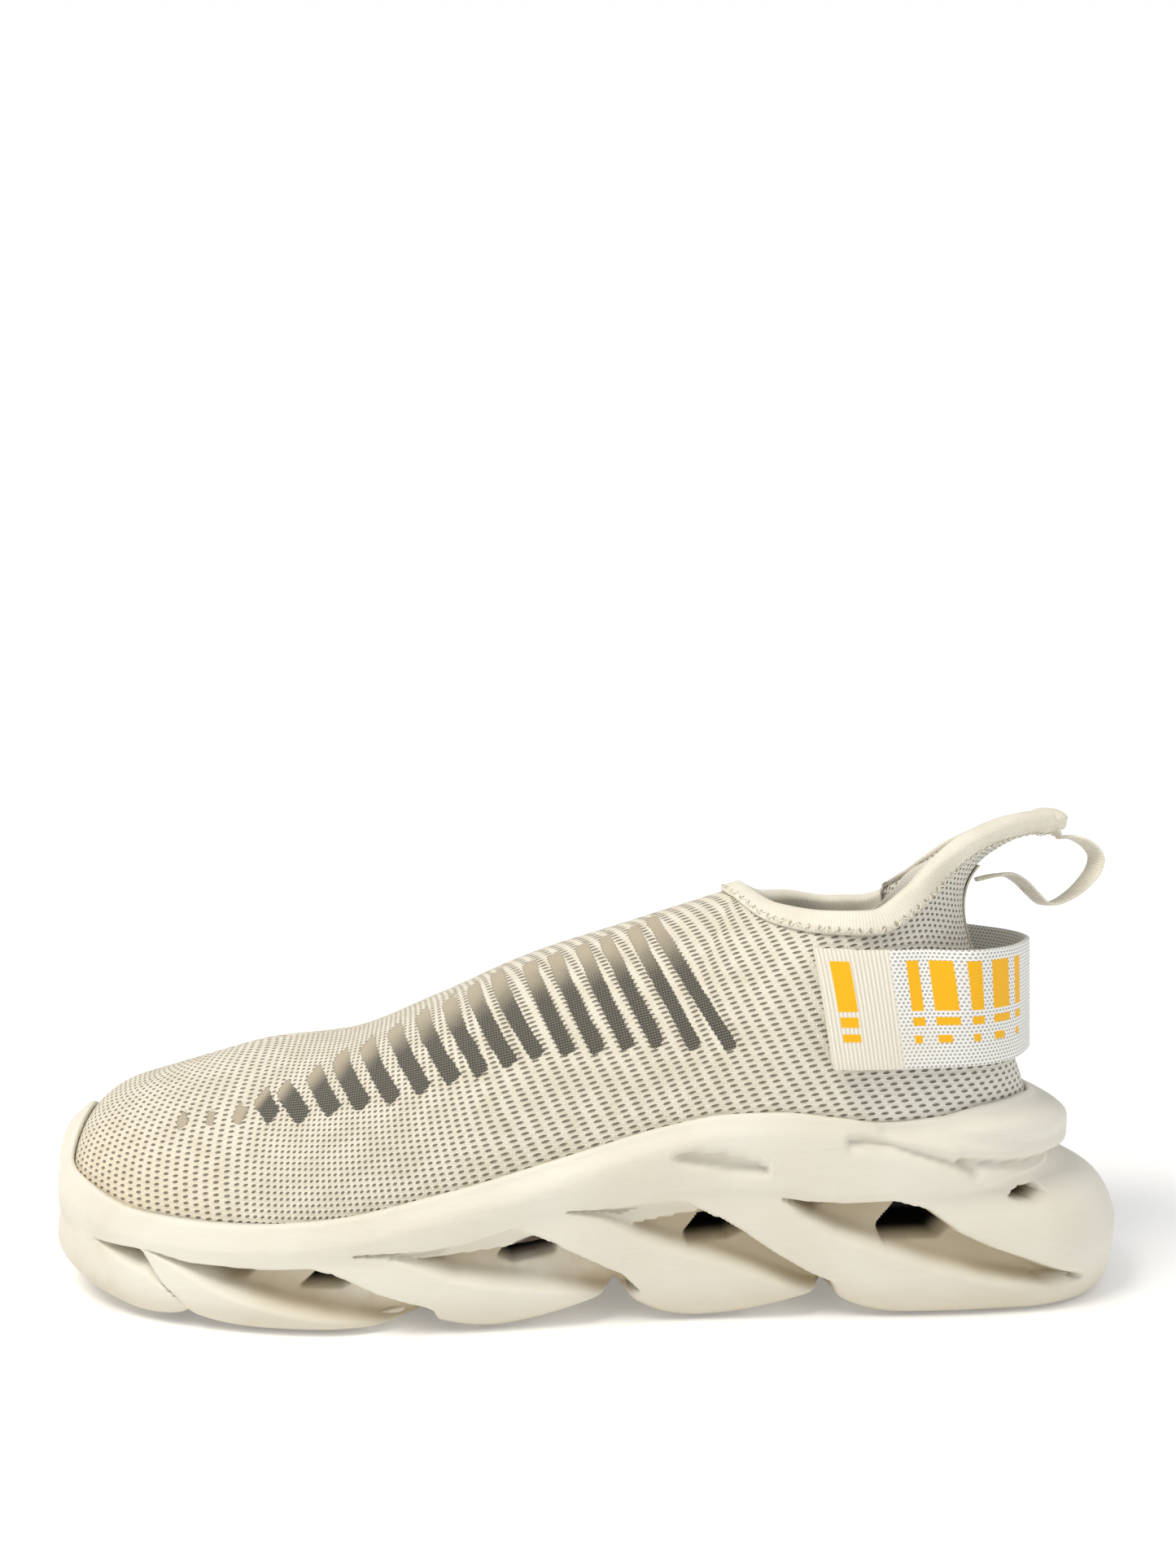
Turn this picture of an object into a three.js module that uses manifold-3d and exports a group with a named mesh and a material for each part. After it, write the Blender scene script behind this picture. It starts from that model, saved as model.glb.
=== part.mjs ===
// A slip-on knit running shoe for the left foot: a one-piece moulded foam midsole cut open into
// sweeping blades, rubber pads under its lobes, a knit upper that runs back into a heel tab,
// a bound collar, an elastic heel strap, a webbing pull loop, and the pieces hidden inside.
// Millimetres, +Z up, the toe at -X and the heel at +X, the lateral side at -Y.
// The origin lies on the ground under the middle of the shoe.
import * as THREE from "three";
import { mergeVertices } from "three/addons/utils/BufferGeometryUtils.js";
import Module from "manifold-3d";

const wasm = await Module();
wasm.setup();

// ---------------------------------------------------------------- driving sizes
const SHOE_LENGTH = 300; // toe tip to the back of the heel lobe
const SHOE_WIDTH = 101; // across the ball
const SHOE_HEIGHT = 130; // ground to the top of the heel tab
const GAP = 0.35; // clearance between touching pieces
const KNIT = 1.8; // thickness of the knit
const STIFFENER = 1.2; // heel counter, toe puff and ankle foam
const LINER = 0.8; // collar lining and instep liner
const BOARD = 1.4; // strobel board
const BOARD_ROOM = 1; // from its edge to the inside of the knit
const INSOLE_FOAM = 3.6;
const INSOLE_COVER = 0.8;
const INSOLE_ROOM = 1.4; // from the lining to the edge of the insole
const RIM_WALL = 2.6; // foam lip round the foot of the upper
const PAD = 2.9; // rubber under each lobe
const TREAD_DEPTH = 1.1;
const TREAD_WIDTH = 1.6;
const TREAD_PITCH = 8;
const BINDING = 1.2; // thickness of the collar binding
const BINDING_WIDTH = 5.4; // how far it reaches down each side of the collar
const STRAP_WIDTH = 30;
const STRAP = 1.4;
const STRAP_HEM = 8; // length of the folded, sewn end
const STRAP_BOTTOM = 64; // height of its lower edge
const LOOP_WIDTH = 8;
const LOOP_TACK = 3; // width of the loop where it is sewn down
const LOOP = 1.2;
const TAPE = 0.6;

const LONG = SHOE_LENGTH / 300;
const WIDE = SHOE_WIDTH / 101;
const HIGH = SHOE_HEIGHT / 130;

// ---------------------------------------------------------------- the last
// Stations run from the centre of the heel to the toe tip, one table for both sides.
// foot: x, lateral y and medial y of the foot of the upper.
// rise and lean: the two handles that shape the wall, each x, half width and height.
// top: x, half width and height of the collar edge, or of the ridge where the half width is 0.
// axis: y of the ridge. rim, keel: heights of the top and the lower edge of the foam rim.
// flare, valley, lip: how far the sole stands out at the lobes, at the keel and at the rim.
// drop: how much lower the collar edge lies on the medial side.
const STATIONS = [
  // foot, rise, lean, top, axis, rim, keel, flare, valley, lip, drop
  [[127, 0, 0], [131, 0, 75], [76, 0, 110], [138, 0, 125.5], 0, 51, 36.5, 23, 5.5, 9.5, 0],
  [[124.5, -12, 12], [128, 12.5, 75], [77, 9, 110], [133, 5, 126.6], 0, 52, 36, 21, 5.5, 9, 0.5],
  [[117, -23, 23], [120, 24, 75], [79, 18, 108], [121, 13, 126], 0, 53, 34, 15, 5, 7.5, 4.5],
  [[105, -30.5, 30], [107, 31.5, 75], [82, 25, 105], [107, 20, 122.3], 0, 52.5, 32, 8.5, 4.5, 6, 12],
  [[92, -34, 33], [93, 35, 73], [84, 29, 101], [95.5, 25, 116], 0, 50.5, 30.5, 6, 4.2, 5.2, 12],
  [[78, -35.5, 33.5], [78, 37, 70], [80, 32, 94], [86, 28.5, 108.2], 0, 49.5, 30, 5, 4, 4.8, 7],
  [[64, -36, 32.5], [64, 38, 66], [71, 33.5, 88], [76, 30, 102.4], 0, 51, 29.5, 4.7, 3.9, 4.6, 1.5],
  [[50, -36.3, 31.5], [50, 38.5, 64], [58, 33, 86], [64, 26, 102], 0, 52.3, 31.5, 4.6, 3.9, 4.6, -0.8],
  [[36, -37, 31], [36, 39, 62], [47, 28, 92], [53, 15.5, 103], 0, 51.7, 32, 4.5, 3.9, 4.6, -0.8],
  [[18, -38.5, 32], [18, 40.5, 58], [36, 21, 104], [45, 0, 107.6], 0, 48.5, 31, 4.5, 3.9, 4.6, 0],
  [[-8, -41.5, 35], [-8, 43.5, 52], [10, 20, 97], [14, 0, 97.5], 1, 41.3, 28.5, 4.5, 3.9, 4.6, 0],
  [[-36, -45, 41], [-36, 48, 46], [-18, 22, 87], [-15, 0, 88], 2, 34, 21.5, 4.5, 3.9, 4.6, 0],
  [[-64, -46, 46], [-65, 49.5, 43], [-45, 23, 75], [-43, 0, 75.5], 3, 28, 18, 4.5, 3.9, 4.4, 0],
  [[-90, -43, 46.5], [-91.5, 46.5, 42], [-70, 24, 65], [-69, 0, 65.3], 4, 26, 16.5, 4.5, 3.9, 4.2, 0],
  [[-112, -36.5, 42], [-114.5, 39.5, 41], [-93, 22, 61.8], [-91, 0, 62.8], 4.5, 26.5, 17.5, 4.5, 4, 4.2, 0],
  [[-129, -27, 34], [-132.5, 28.5, 40], [-112, 16, 57.2], [-108, 0, 58.3], 5, 29.5, 18, 4.5, 4, 4.2, 0],
  [[-141, -13, 23], [-145.5, 14.5, 40], [-128, 9, 52.8], [-119, 0, 55.2], 5, 33.5, 19, 4.5, 4, 4.4, 0],
  [[-145.5, 5, 5], [-150.5, 0, 41], [-136, 0, 51.5], [-126, 0, 53], 5, 43, 20, 4.5, 4, 4.6, 0],
].map(([foot, rise, lean, top, axis, rim, keel, flare, valley, lip, drop]) => ({
  foot, rise, lean, top, axis, rim, keel, flare, valley, lip, drop,
}));
const TOE = STATIONS.length - 1; // station of the toe tip
const COLLAR_FRONT = 9; // station where the collar crosses the instep
const ROUND = 2 * TOE; // stations once round the shoe
const STEP = 2; // grid columns for each station
const COLUMNS = ROUND * STEP;
const HALF = COLUMNS / 2;
const ROWS = 10; // grid rows up the wall

// Height of the footbed and of the underside of the sole, along the shoe.
const FOOTBED = [
  [-150, 25], [-130, 21.5], [-112, 19], [-85, 18], [-50, 19], [-20, 21.5],
  [10, 25.5], [40, 30], [70, 32.5], [100, 33], [150, 33],
];
const UNDERSIDE = [
  [-150, 10], [-140, 7], [-125, 3.2], [-112, 0.8], [-103, 0], [120, 0], [132, 2], [150, 6],
];

// ---------------------------------------------------------------- smooth runs
const vec = (x, y, z) => new THREE.Vector3(x, y, z);
const mix = (a, b, t) => a + (b - a) * t;
const clamp = (v, low, high) => Math.min(high, Math.max(low, v));

// The slope at a value between its neighbours that never overshoots.
const easySlope = (before, after) =>
  before * after > 0 ? (2 * before * after) / (before + after) : 0;
const hermite = (a, b, slopeA, slopeB, t) =>
  a + t * (slopeA + t * (3 * (b - a) - 2 * slopeA - slopeB + t * (2 * (a - b) + slopeA + slopeB)));

// A closed smooth run through evenly spaced values.
function roundThrough(values) {
  const at = (i) => values[((i % values.length) + values.length) % values.length];
  const slope = (i) => easySlope(at(i) - at(i - 1), at(i + 1) - at(i));
  return (s) => {
    const i = Math.floor(s);
    return hermite(at(i), at(i + 1), slope(i), slope(i + 1), s - i);
  };
}

// A smooth function of x through points in rising order of x.
function alongThrough(points) {
  const last = points.length - 1;
  const rate = (i) => (points[i + 1][1] - points[i][1]) / (points[i + 1][0] - points[i][0]);
  const slope = (i) => {
    if (i === 0) return rate(0);
    return i === last ? rate(last - 1) : easySlope(rate(i - 1), rate(i));
  };
  return (v) => {
    const at = clamp(v, points[0][0], points[last][0]);
    const i = clamp(points.findIndex(([x]) => x >= at) - 1, 0, last - 1);
    const [[x0, a], [x1, b]] = [points[i], points[i + 1]];
    const span = x1 - x0;
    return hermite(a, b, slope(i) * span, slope(i + 1) * span, (at - x0) / span);
  };
}
const toScale = (outline) => outline.map(([x, z]) => [x * LONG, z * HIGH]);
const footbed = alongThrough(toScale(FOOTBED));
const underside = alongThrough(toScale(UNDERSIDE));

// A run of one value per station round the shoe: out along the lateral side, back along the medial.
function track(value) {
  const medial = STATIONS.slice(1, TOE).reverse();
  return roundThrough([...STATIONS.map((q) => value(q, -1)), ...medial.map((q) => value(q, 1))]);
}
const footX = track((q) => q.foot[0] * LONG);
const footY = track((q, side) => (side < 0 ? q.foot[1] : q.foot[2]) * WIDE);
const axisY = track((q) => q.axis * WIDE);
const handle = (name, centred) => [
  track((q) => q[name][0] * LONG),
  track((q, side) => (side * q[name][1] + (centred || q[name][1] === 0 ? q.axis : 0)) * WIDE),
  track((q) => q[name][2] * HIGH),
];
const rise = handle("rise", false);
const lean = handle("lean", true);
const rimZ = track((q) => q.rim * HIGH);
const keelZ = track((q) => q.keel * HIGH);
const flareOut = track((q) => q.flare * WIDE);
const valleyOut = track((q) => q.valley * WIDE);
const lipOut = track((q) => q.lip * WIDE);

// The top edge turns off the collar onto the ridge at the instep, so each is a run of its own.
function collarRun(value) {
  const out = STATIONS.slice(0, COLLAR_FRONT + 1);
  const back = out.slice(1, -1).reverse();
  const run = roundThrough([...out.map((q) => value(q, -1)), ...back.map((q) => value(q, 1))]);
  return (s) => run(s <= COLLAR_FRONT ? s : s - ROUND + 2 * COLLAR_FRONT);
}
function ridgeRun(value) {
  const run = alongThrough(STATIONS.slice(COLLAR_FRONT).map((q, i) => [i, value(q)]));
  return (s) => run(Math.min(s, ROUND - s) - COLLAR_FRONT);
}
const collar = [
  collarRun((q) => q.top[0] * LONG),
  collarRun((q, side) => side * q.top[1] * WIDE),
  collarRun((q, side) => (q.top[2] - (side > 0 ? q.drop : 0)) * HIGH),
];
const ridge = [ridgeRun((q) => q.top[0] * LONG), axisY, ridgeRun((q) => q.top[2] * HIGH)];
const wrap = (s) => ((s % ROUND) + ROUND) % ROUND;
const onCollar = (s) => Math.min(wrap(s), ROUND - wrap(s)) <= COLLAR_FRONT;

// A point on the outside of the upper: s goes round the shoe, t from its foot to the top edge.
function upperPoint(station, t) {
  const s = wrap(station);
  const u = 1 - t;
  const weights = [u * u * u, 3 * u * u * t, 3 * u * t * t, t * t * t];
  const foot = [footX(s), footY(s), footbed(footX(s)) + GAP];
  const at = (run) => run.map((part) => part(s));
  const handles = [foot, at(rise), at(lean), at(onCollar(s) ? collar : ridge)];
  return vec(...[0, 1, 2].map((k) => handles.reduce((total, h, i) => total + weights[i] * h[k], 0)));
}

// The outward direction there; on the ridge it is shared by the two sides.
function upperNormal(s, t) {
  const oneSide = (at, height) => {
    const along = upperPoint(at - 0.02, height).sub(upperPoint(at + 0.02, height));
    const up = upperPoint(at, Math.min(height + 0.01, 1)).sub(upperPoint(at, Math.max(height - 0.01, 0)));
    return along.cross(up).normalize();
  };
  const shared = t === 1 && Math.min(wrap(s), ROUND - wrap(s)) >= COLLAR_FRONT;
  const nearRidge = 0.97;
  return shared ? oneSide(s, nearRidge).add(oneSide(ROUND - wrap(s), nearRidge)).normalize() : oneSide(s, t);
}

// How far up the wall a height lies.
function wallShare(s, height) {
  let [low, high] = [0, 1];
  for (let i = 0; i < 24; i++) {
    const middle = (low + high) / 2;
    if (upperPoint(s, middle).z < height) low = middle;
    else high = middle;
  }
  return low;
}

// ---------------------------------------------------------------- solids from meshes
const MERGE = 1e-3;
const FINEST = 0.05; // smallest detail that a cut leaves

function quad(faces, a, b, c, d) {
  faces.push(a, b, c, a, c, d);
}

function geometryFrom(faces) {
  const geometry = new THREE.BufferGeometry();
  const positions = faces.flatMap((p) => p.toArray());
  geometry.setAttribute("position", new THREE.Float32BufferAttribute(positions, 3));
  return geometry;
}

function solidOf(geometry) {
  const bare = geometry.index ? geometry.toNonIndexed() : geometry.clone();
  bare.deleteAttribute("normal");
  bare.deleteAttribute("uv");
  const merged = mergeVertices(bare, MERGE);
  const index = merged.index.array;
  const kept = [];
  for (let i = 0; i < index.length; i += 3) {
    const [a, b, c] = [index[i], index[i + 1], index[i + 2]];
    if (a !== b && b !== c && c !== a) kept.push(a, b, c);
  }
  const vertProperties = new Float32Array(merged.attributes.position.array);
  return new wasm.Manifold(new wasm.Mesh({ numProp: 3, vertProperties, triVerts: new Uint32Array(kept) }));
}

function geometryOf(solid) {
  const mesh = solid.getMesh();
  const positions = new Float32Array(mesh.numVert * 3);
  for (let i = 0; i < mesh.numVert; i++) {
    for (let k = 0; k < 3; k++) positions[i * 3 + k] = mesh.vertProperties[i * mesh.numProp + k];
  }
  const geometry = new THREE.BufferGeometry();
  geometry.setAttribute("position", new THREE.BufferAttribute(positions, 3));
  geometry.setIndex(new THREE.BufferAttribute(new Uint32Array(mesh.triVerts), 1));
  const flat = geometry.toNonIndexed();
  flat.computeVertexNormals();
  return flat;
}

// A solid between loops round the shoe, each of one point per column, stacked from the bottom up.
function stacked(loops) {
  const faces = [];
  const next = (c) => (c + 1) % COLUMNS;
  const across = (c) => (COLUMNS - c) % COLUMNS;
  for (let r = 0; r < loops.length - 1; r++) {
    const [below, above] = [loops[r], loops[r + 1]];
    for (let c = 0; c < COLUMNS; c++) quad(faces, below[c], above[c], above[next(c)], below[next(c)]);
  }
  const [low, high] = [loops[0], loops[loops.length - 1]];
  for (let c = 0; c < HALF; c++) {
    quad(faces, low[c], low[c + 1], low[across(c + 1)], low[across(c)]);
    quad(faces, high[c], high[across(c)], high[across(c + 1)], high[c + 1]);
  }
  return geometryFrom(faces);
}

// A solid through closed convex rings, capped at both ends; the rings turn left seen from the start.
function swept(rings) {
  const faces = [];
  const count = rings[0].length;
  for (let r = 0; r < rings.length - 1; r++) {
    for (let i = 0; i < count; i++) {
      const j = (i + 1) % count;
      quad(faces, rings[r][i], rings[r][j], rings[r + 1][j], rings[r + 1][i]);
    }
  }
  const [start, end] = [rings[0], rings[rings.length - 1]];
  for (let i = 1; i < count - 1; i++) {
    faces.push(start[0], start[i + 1], start[i], end[0], end[i], end[i + 1]);
  }
  return geometryFrom(faces);
}

// The same solid with its faces pointing out, whichever way its rings turned.
function outward(geometry) {
  if (solidOf(geometry).volume() > 0) return geometry;
  const p = geometry.attributes.position;
  for (let i = 0; i < p.count; i += 3) {
    const [second, third] = [i + 1, i + 2].map((k) => vec().fromBufferAttribute(p, k));
    p.setXYZ(i + 1, ...third.toArray());
    p.setXYZ(i + 2, ...second.toArray());
  }
  return geometry;
}

const softOutline = (outline, count) =>
  new THREE.CatmullRomCurve3(outline.map(([x, z]) => vec(x, z, 0)), true, "centripetal")
    .getSpacedPoints(count)
    .slice(0, -1)
    .map((p) => [p.x, p.y]);

// ---------------------------------------------------------------- layers of the upper
const grid = Array.from({ length: COLUMNS }, (_, c) =>
  Array.from({ length: ROWS + 1 }, (_, r) => ({
    point: upperPoint(c / STEP, r / ROWS),
    normal: upperNormal(c / STEP, r / ROWS),
  })),
);
const column = (c) => ((c % COLUMNS) + COLUMNS) % COLUMNS;
function off(c, r, distance) {
  const { point, normal } = grid[column(c)][r];
  return point.clone().addScaledVector(normal, distance);
}

// A layer over spans of columns and a range of rows, between two distances from the outside of the knit.
// Where it reaches the ridge its two sides grow together.
function layer(spans, [lowRow, highRow], outside, inside) {
  const faces = [];
  const offRidge = (c) => highRow < ROWS || (onCollar(c / STEP) && onCollar((c + 1) / STEP));
  const out = (c, r) => off(c, r, outside);
  const into = (c, r) => off(c, r, inside);
  for (const [first, last] of spans) {
    for (let c = first; c < last; c++) {
      for (let r = lowRow; r < highRow; r++) {
        quad(faces, out(c, r), out(c, r + 1), out(c + 1, r + 1), out(c + 1, r));
        quad(faces, into(c, r), into(c + 1, r), into(c + 1, r + 1), into(c, r + 1));
      }
      quad(faces, into(c, lowRow), out(c, lowRow), out(c + 1, lowRow), into(c + 1, lowRow));
      if (!offRidge(c)) continue;
      quad(faces, out(c, highRow), into(c, highRow), into(c + 1, highRow), out(c + 1, highRow));
    }
    if (last - first === COLUMNS) continue;
    for (let r = lowRow; r < highRow; r++) {
      quad(faces, into(first, r), into(first, r + 1), out(first, r + 1), out(first, r));
      quad(faces, out(last, r), out(last, r + 1), into(last, r + 1), into(last, r));
    }
  }
  return geometryFrom(faces);
}
const INSIDE_KNIT = KNIT + GAP; // depth of the stiffening layer under the outside of the knit
const INSIDE_STIFFENER = INSIDE_KNIT + STIFFENER + GAP; // depth of the heel lining
const stations = (from, to) => [from * STEP, to * STEP];

const knitUpper = () => layer([[0, COLUMNS]], [0, ROWS], 0, -KNIT);
const toePuff = () => layer([stations(15, 19)], [2, ROWS], -INSIDE_KNIT, -INSIDE_KNIT - STIFFENER);
const heelCounter = () => layer([stations(-4, 4)], [1, 5], -INSIDE_KNIT, -INSIDE_KNIT - STIFFENER);
const ankleFoam = (from, to) => layer([stations(from, to)], [3, 7], -INSIDE_KNIT, -INSIDE_KNIT - STIFFENER);
const heelLining = () => layer([stations(-5.5, 5.5)], [1, 8], -INSIDE_STIFFENER, -INSIDE_STIFFENER - LINER);
const INSTEP = [COLLAR_FRONT + 0.5, 14]; // stations that the instep liner spans on each side
const INSTEP_SPANS = [stations(...INSTEP), stations(ROUND - INSTEP[1], ROUND - INSTEP[0])];
const instepLiner = () => layer(INSTEP_SPANS, [3, ROWS], -INSIDE_KNIT, -INSIDE_KNIT - LINER);
const backSeamTape = () => layer([stations(-0.5, 0.5)], [3, 8], GAP + TAPE, GAP);

// The place on the outside of the upper nearest to a point, searched from a station near it.
const WAYS = [[1, 0], [-1, 0], [0, 1], [0, -1], [1, 1], [-1, -1], [1, -1], [-1, 1]];
function nearestOnUpper(target, station) {
  const miss = (at) => upperPoint(at.s, at.t).distanceTo(target);
  let best = { s: station, t: 0.95 };
  for (let reach = 1; reach > 0.01; ) {
    const tries = WAYS.map(([i, j]) => ({
      s: best.s + i * reach * 0.5,
      t: clamp(best.t + j * reach * 0.08, 0, 1),
    }));
    const better = tries.reduce((a, b) => (miss(b) < miss(a) ? b : a), best);
    if (better === best) reach /= 2;
    else best = better;
  }
  return best;
}

// The binding folds over the collar edge: two legs that follow the knit, joined over its edge.
function collarBinding() {
  const ends = COLLAR_FRONT * STEP;
  const [outer, inner] = [GAP, -KNIT - GAP];
  const rings = [];
  for (let c = -ends; c < ends; c++) {
    const { point: edge, normal } = grid[column(c)][ROWS];
    const before = grid[column(c === -ends ? ends - 1 : c - 1)][ROWS].point;
    const after = grid[column(c + 1)][ROWS].point;
    const down = before.clone().sub(after).cross(normal).normalize();
    const depths = [BINDING_WIDTH, BINDING_WIDTH / 2].map((depth) => {
      const { s, t } = nearestOnUpper(edge.clone().addScaledVector(down, depth), c / STEP);
      return { point: upperPoint(s, t), normal: upperNormal(s, t) };
    });
    depths.push({ point: edge, normal });
    const face = (out) => depths.map((at) => at.point.clone().addScaledVector(at.normal, out));
    const over = (height, out) => edge.clone().addScaledVector(down, -height).addScaledVector(normal, out);
    rings.push([
      ...face(outer + BINDING),
      over(GAP + BINDING, outer + BINDING / 2), over(GAP + BINDING, inner - BINDING / 2),
      ...face(inner - BINDING).reverse(),
      ...face(inner),
      over(GAP, inner), over(GAP, outer),
      ...face(outer).reverse(),
    ]);
  }
  const faces = [];
  rings.forEach((ring, r) => {
    const next = rings[(r + 1) % rings.length];
    const after = (i) => (i + 1) % ring.length;
    ring.forEach((p, i) => quad(faces, p, ring[after(i)], next[after(i)], next[i]));
  });
  const clearance = GAP / 2;
  const knit = solidOf(layer([[0, COLUMNS]], [ROWS - 4, ROWS], clearance, -KNIT - clearance));
  const bound = solidOf(outward(geometryFrom(faces))).subtract(knit).decompose();
  return geometryOf(bound.sort((a, b) => b.volume() - a.volume())[0].simplify(FINEST));
}

// ---------------------------------------------------------------- the foam
// A loop round the shoe at a distance outside the foot of the upper.
function loopOff(distance, height) {
  return Array.from({ length: COLUMNS }, (_, c) => {
    const s = c / STEP;
    const [before, after] = [wrap(s - 0.02), s + 0.02];
    const along = vec(footX(after) - footX(before), footY(after) - footY(before), 0).normalize();
    const out = typeof distance === "function" ? distance(s) : distance;
    const x = footX(s) + along.y * -out;
    const y = footY(s) + along.x * out;
    return vec(x, y, height(x, s));
  });
}

const foamBottom = (x) => underside(x) + PAD + GAP;
function foamBlock() {
  const level = (share) => (x, s) => mix(foamBottom(x), keelZ(s), share);
  const onRim = (below, distance) =>
    Array.from({ length: COLUMNS }, (_, c) => {
      const s = c / STEP;
      const share = wallShare(s, rimZ(s) - below);
      return upperPoint(s, share).addScaledVector(upperNormal(s, share), distance);
    });
  const top = (x, s) => rimZ(s);
  return stacked([
    loopOff((s) => flareOut(s) - 5, level(0)),
    loopOff((s) => flareOut(s) - 1.4, level(0.14)),
    loopOff(flareOut, level(0.45)),
    loopOff((s) => mix(flareOut(s), valleyOut(s), 0.4), level(0.78)),
    loopOff(valleyOut, level(1)),
    loopOff(lipOut, (x, s) => keelZ(s) + 2.6),
    loopOff(lipOut, (x, s) => rimZ(s) - 4),
    onRim(0.6, RIM_WALL),
    onRim(0, RIM_WALL / 2),
    loopOff(-GAP, top),
  ]);
}

// What the upper and the board fill of the foam, with clearance all round.
function footHollow() {
  const loops = [Array.from({ length: COLUMNS }, (_, c) => off(c, 0, GAP).setZ(footbed(off(c, 0, GAP).x)))];
  for (let r = 0; r <= 6; r++) loops.push(Array.from({ length: COLUMNS }, (_, c) => off(c, r, GAP)));
  return stacked(loops);
}

// The side outline of the shoe at the foot of the upper, for each side.
const edgeAlong = (side) => {
  const out = (q) => Math.abs(side < 0 ? q.foot[1] : q.foot[2]);
  return alongThrough(STATIONS.map((q) => [q.foot[0] * LONG, out(q) * WIDE]).reverse());
};
const edges = { "-1": edgeAlong(-1), 1: edgeAlong(1) };

// A hollow cut in from one side: its outline is kept down to a depth, then ducks under the footbed.
const MIDFOOT = 12; // station where the sole's side is plainest
const UNDER_FOOTBED = 3; // foam left between a deep hollow and the footbed
const FAR_OUT = 80; // well outside the shoe
function sideCut(outline, side, depth, deepTo) {
  const surface = flareOut(MIDFOOT);
  const ducked = outline.map(([x, z]) => [x, Math.min(z, footbed(x) - UNDER_FOOTBED)]);
  const ring = (points, out) => points.map(([x, z]) => vec(x, side * (edges[side](x) + out), z));
  const rings = [ring(outline, FAR_OUT), ring(outline, surface - depth)];
  if (deepTo) rings.push(ring(ducked, -1.5), ring(ducked, -deepTo));
  return solidOf(outward(swept(rings)));
}


// Outlines of the openings in the sole, each x and height, seen from the side.
const CELLS = [
  [
    [-110, 18.2], [-99, 14.2], [-92, 11.2], [-84, 9.4], [-75, 8.8], [-65, 9.3], [-57, 10],
    [-53, 11.2], [-59, 14], [-67, 16], [-81, 15.6], [-99, 16],
  ],
  [
    [-56, 19.8], [-47, 19.2], [-41, 17.6], [-33, 15.4], [-21, 15.5], [-7, 16.2], [-2.5, 17.6],
    [-7, 20.6], [-17, 25.2], [-22, 24.2], [-30, 22], [-38, 20.6],
  ],
  [
    [-3, 29], [5, 27.2], [14, 22.5], [22, 20.8], [33, 19.4], [43, 19.6], [41, 22], [34, 25.6],
    [26, 30], [19, 30.2], [8, 29.2],
  ],
  [
    [51, 30.4], [57, 25.9], [64, 22.6], [76, 20.2], [89, 18.8], [95, 20], [95, 21.8], [88, 26.8],
    [80, 29.2], [67, 29], [58, 29.4],
  ],
];
const HOLLOWS = [
  [[-98, 15], [-82, 15.6], [-86, 12.2], [-90, 11.8], [-95, 13.4]],
  [[-71, 10.8], [-66, 15.2], [-62, 15.6], [-58.5, 12], [-61, 10.6]],
  [[-20, 17.8], [-17, 21.5], [-12, 22.8], [-6, 20.2], [-7, 17.8], [-17, 16.4]],
  [[27, 20.8], [30.5, 25], [34.5, 25.6], [41, 21.9], [37, 20.2], [28, 19.8]],
  [[77, 22], [82, 27], [86, 27.4], [95, 22], [92, 19.8], [78, 19.6]],
];
const NICHES = [
  [[-126, 18], [-112, 18.2], [-109, 14.2], [-115, 13.4], [-122, 15.6]],
  [[111, 30.2], [118.6, 31.4], [121.2, 29.6], [119.2, 28], [113.8, 28.8]],
  [[22, 41.4], [26, 43.4], [35, 43.2], [43, 41.4], [48, 39.2], [46, 37.6], [37, 37.7], [26, 40]],
  [[69, 45.4], [79, 44.3], [90, 41], [100, 38], [98, 37.4], [85, 41], [70, 44.2]],
];
const NOTCHES = [
  { x: -99.5, apex: 8.5 }, { x: -39.3, apex: 12 }, { x: 8.8, apex: 12 }, { x: 62.2, apex: 8.5 },
];
const NOTCH_SHAPE = [[5.5, 0], [2.6, 0.7], [0.9, 1]]; // half width at shares of its height
const CELL_DEPTH = 3;
const NICHE_DEPTH = 2;
const HOLLOW_DEEP = 16;

// A notch right across the sole between two lobes.
function notch({ x, apex }) {
  const right = NOTCH_SHAPE.map(([half, share]) => [half, share * apex]);
  const outline = [...right, ...right.map(([half, z]) => [-half, z]).reverse()];
  const ring = (y) => outline.map(([dx, z]) => vec(x * LONG + dx, y, z * HIGH));
  return solidOf(outward(swept([ring(-FAR_OUT), ring(FAR_OUT)])));
}

function midsole() {
  let foam = solidOf(foamBlock()).subtract(solidOf(footHollow()));
  for (const side of [-1, 1]) {
    const cut = (outlines, corners, depth, deepTo) => {
      for (const outline of outlines) {
        foam = foam.subtract(sideCut(softOutline(toScale(outline), corners), side, depth, deepTo));
      }
    };
    cut(CELLS, 26, CELL_DEPTH, 0);
    cut(HOLLOWS, 14, CELL_DEPTH, HOLLOW_DEEP);
    cut(NICHES, 16, NICHE_DEPTH, 0);
  }
  NOTCHES.forEach((n) => (foam = foam.subtract(notch(n))));
  return geometryOf(foam);
}

// ---------------------------------------------------------------- rubber under the lobes
const PAD_INSET = 6; // from the widest line of the foam to the edge of the rubber
const PAD_CORNER = 4; // how much narrower a pad is at its ends
const SOLE_EDGE = { "-1": [], 1: [] };
loopOff((s) => flareOut(s) - PAD_INSET, () => 0).forEach((p, c) => {
  const place = [p.x, Math.abs(p.y - axisY(c / STEP))];
  if (c <= HALF) SOLE_EDGE["-1"].push(place);
  if (c >= HALF || c === 0) SOLE_EDGE[1].push(place);
});
for (const side of [-1, 1]) SOLE_EDGE[side].sort((a, b) => a[0] - b[0]);
const SOLE_MIDDLE = alongThrough(
  [[-150, 5], [-129, 5], [8, 0], [150, 0]].map(([x, y]) => [x * LONG, y * WIDE]),
);

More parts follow.
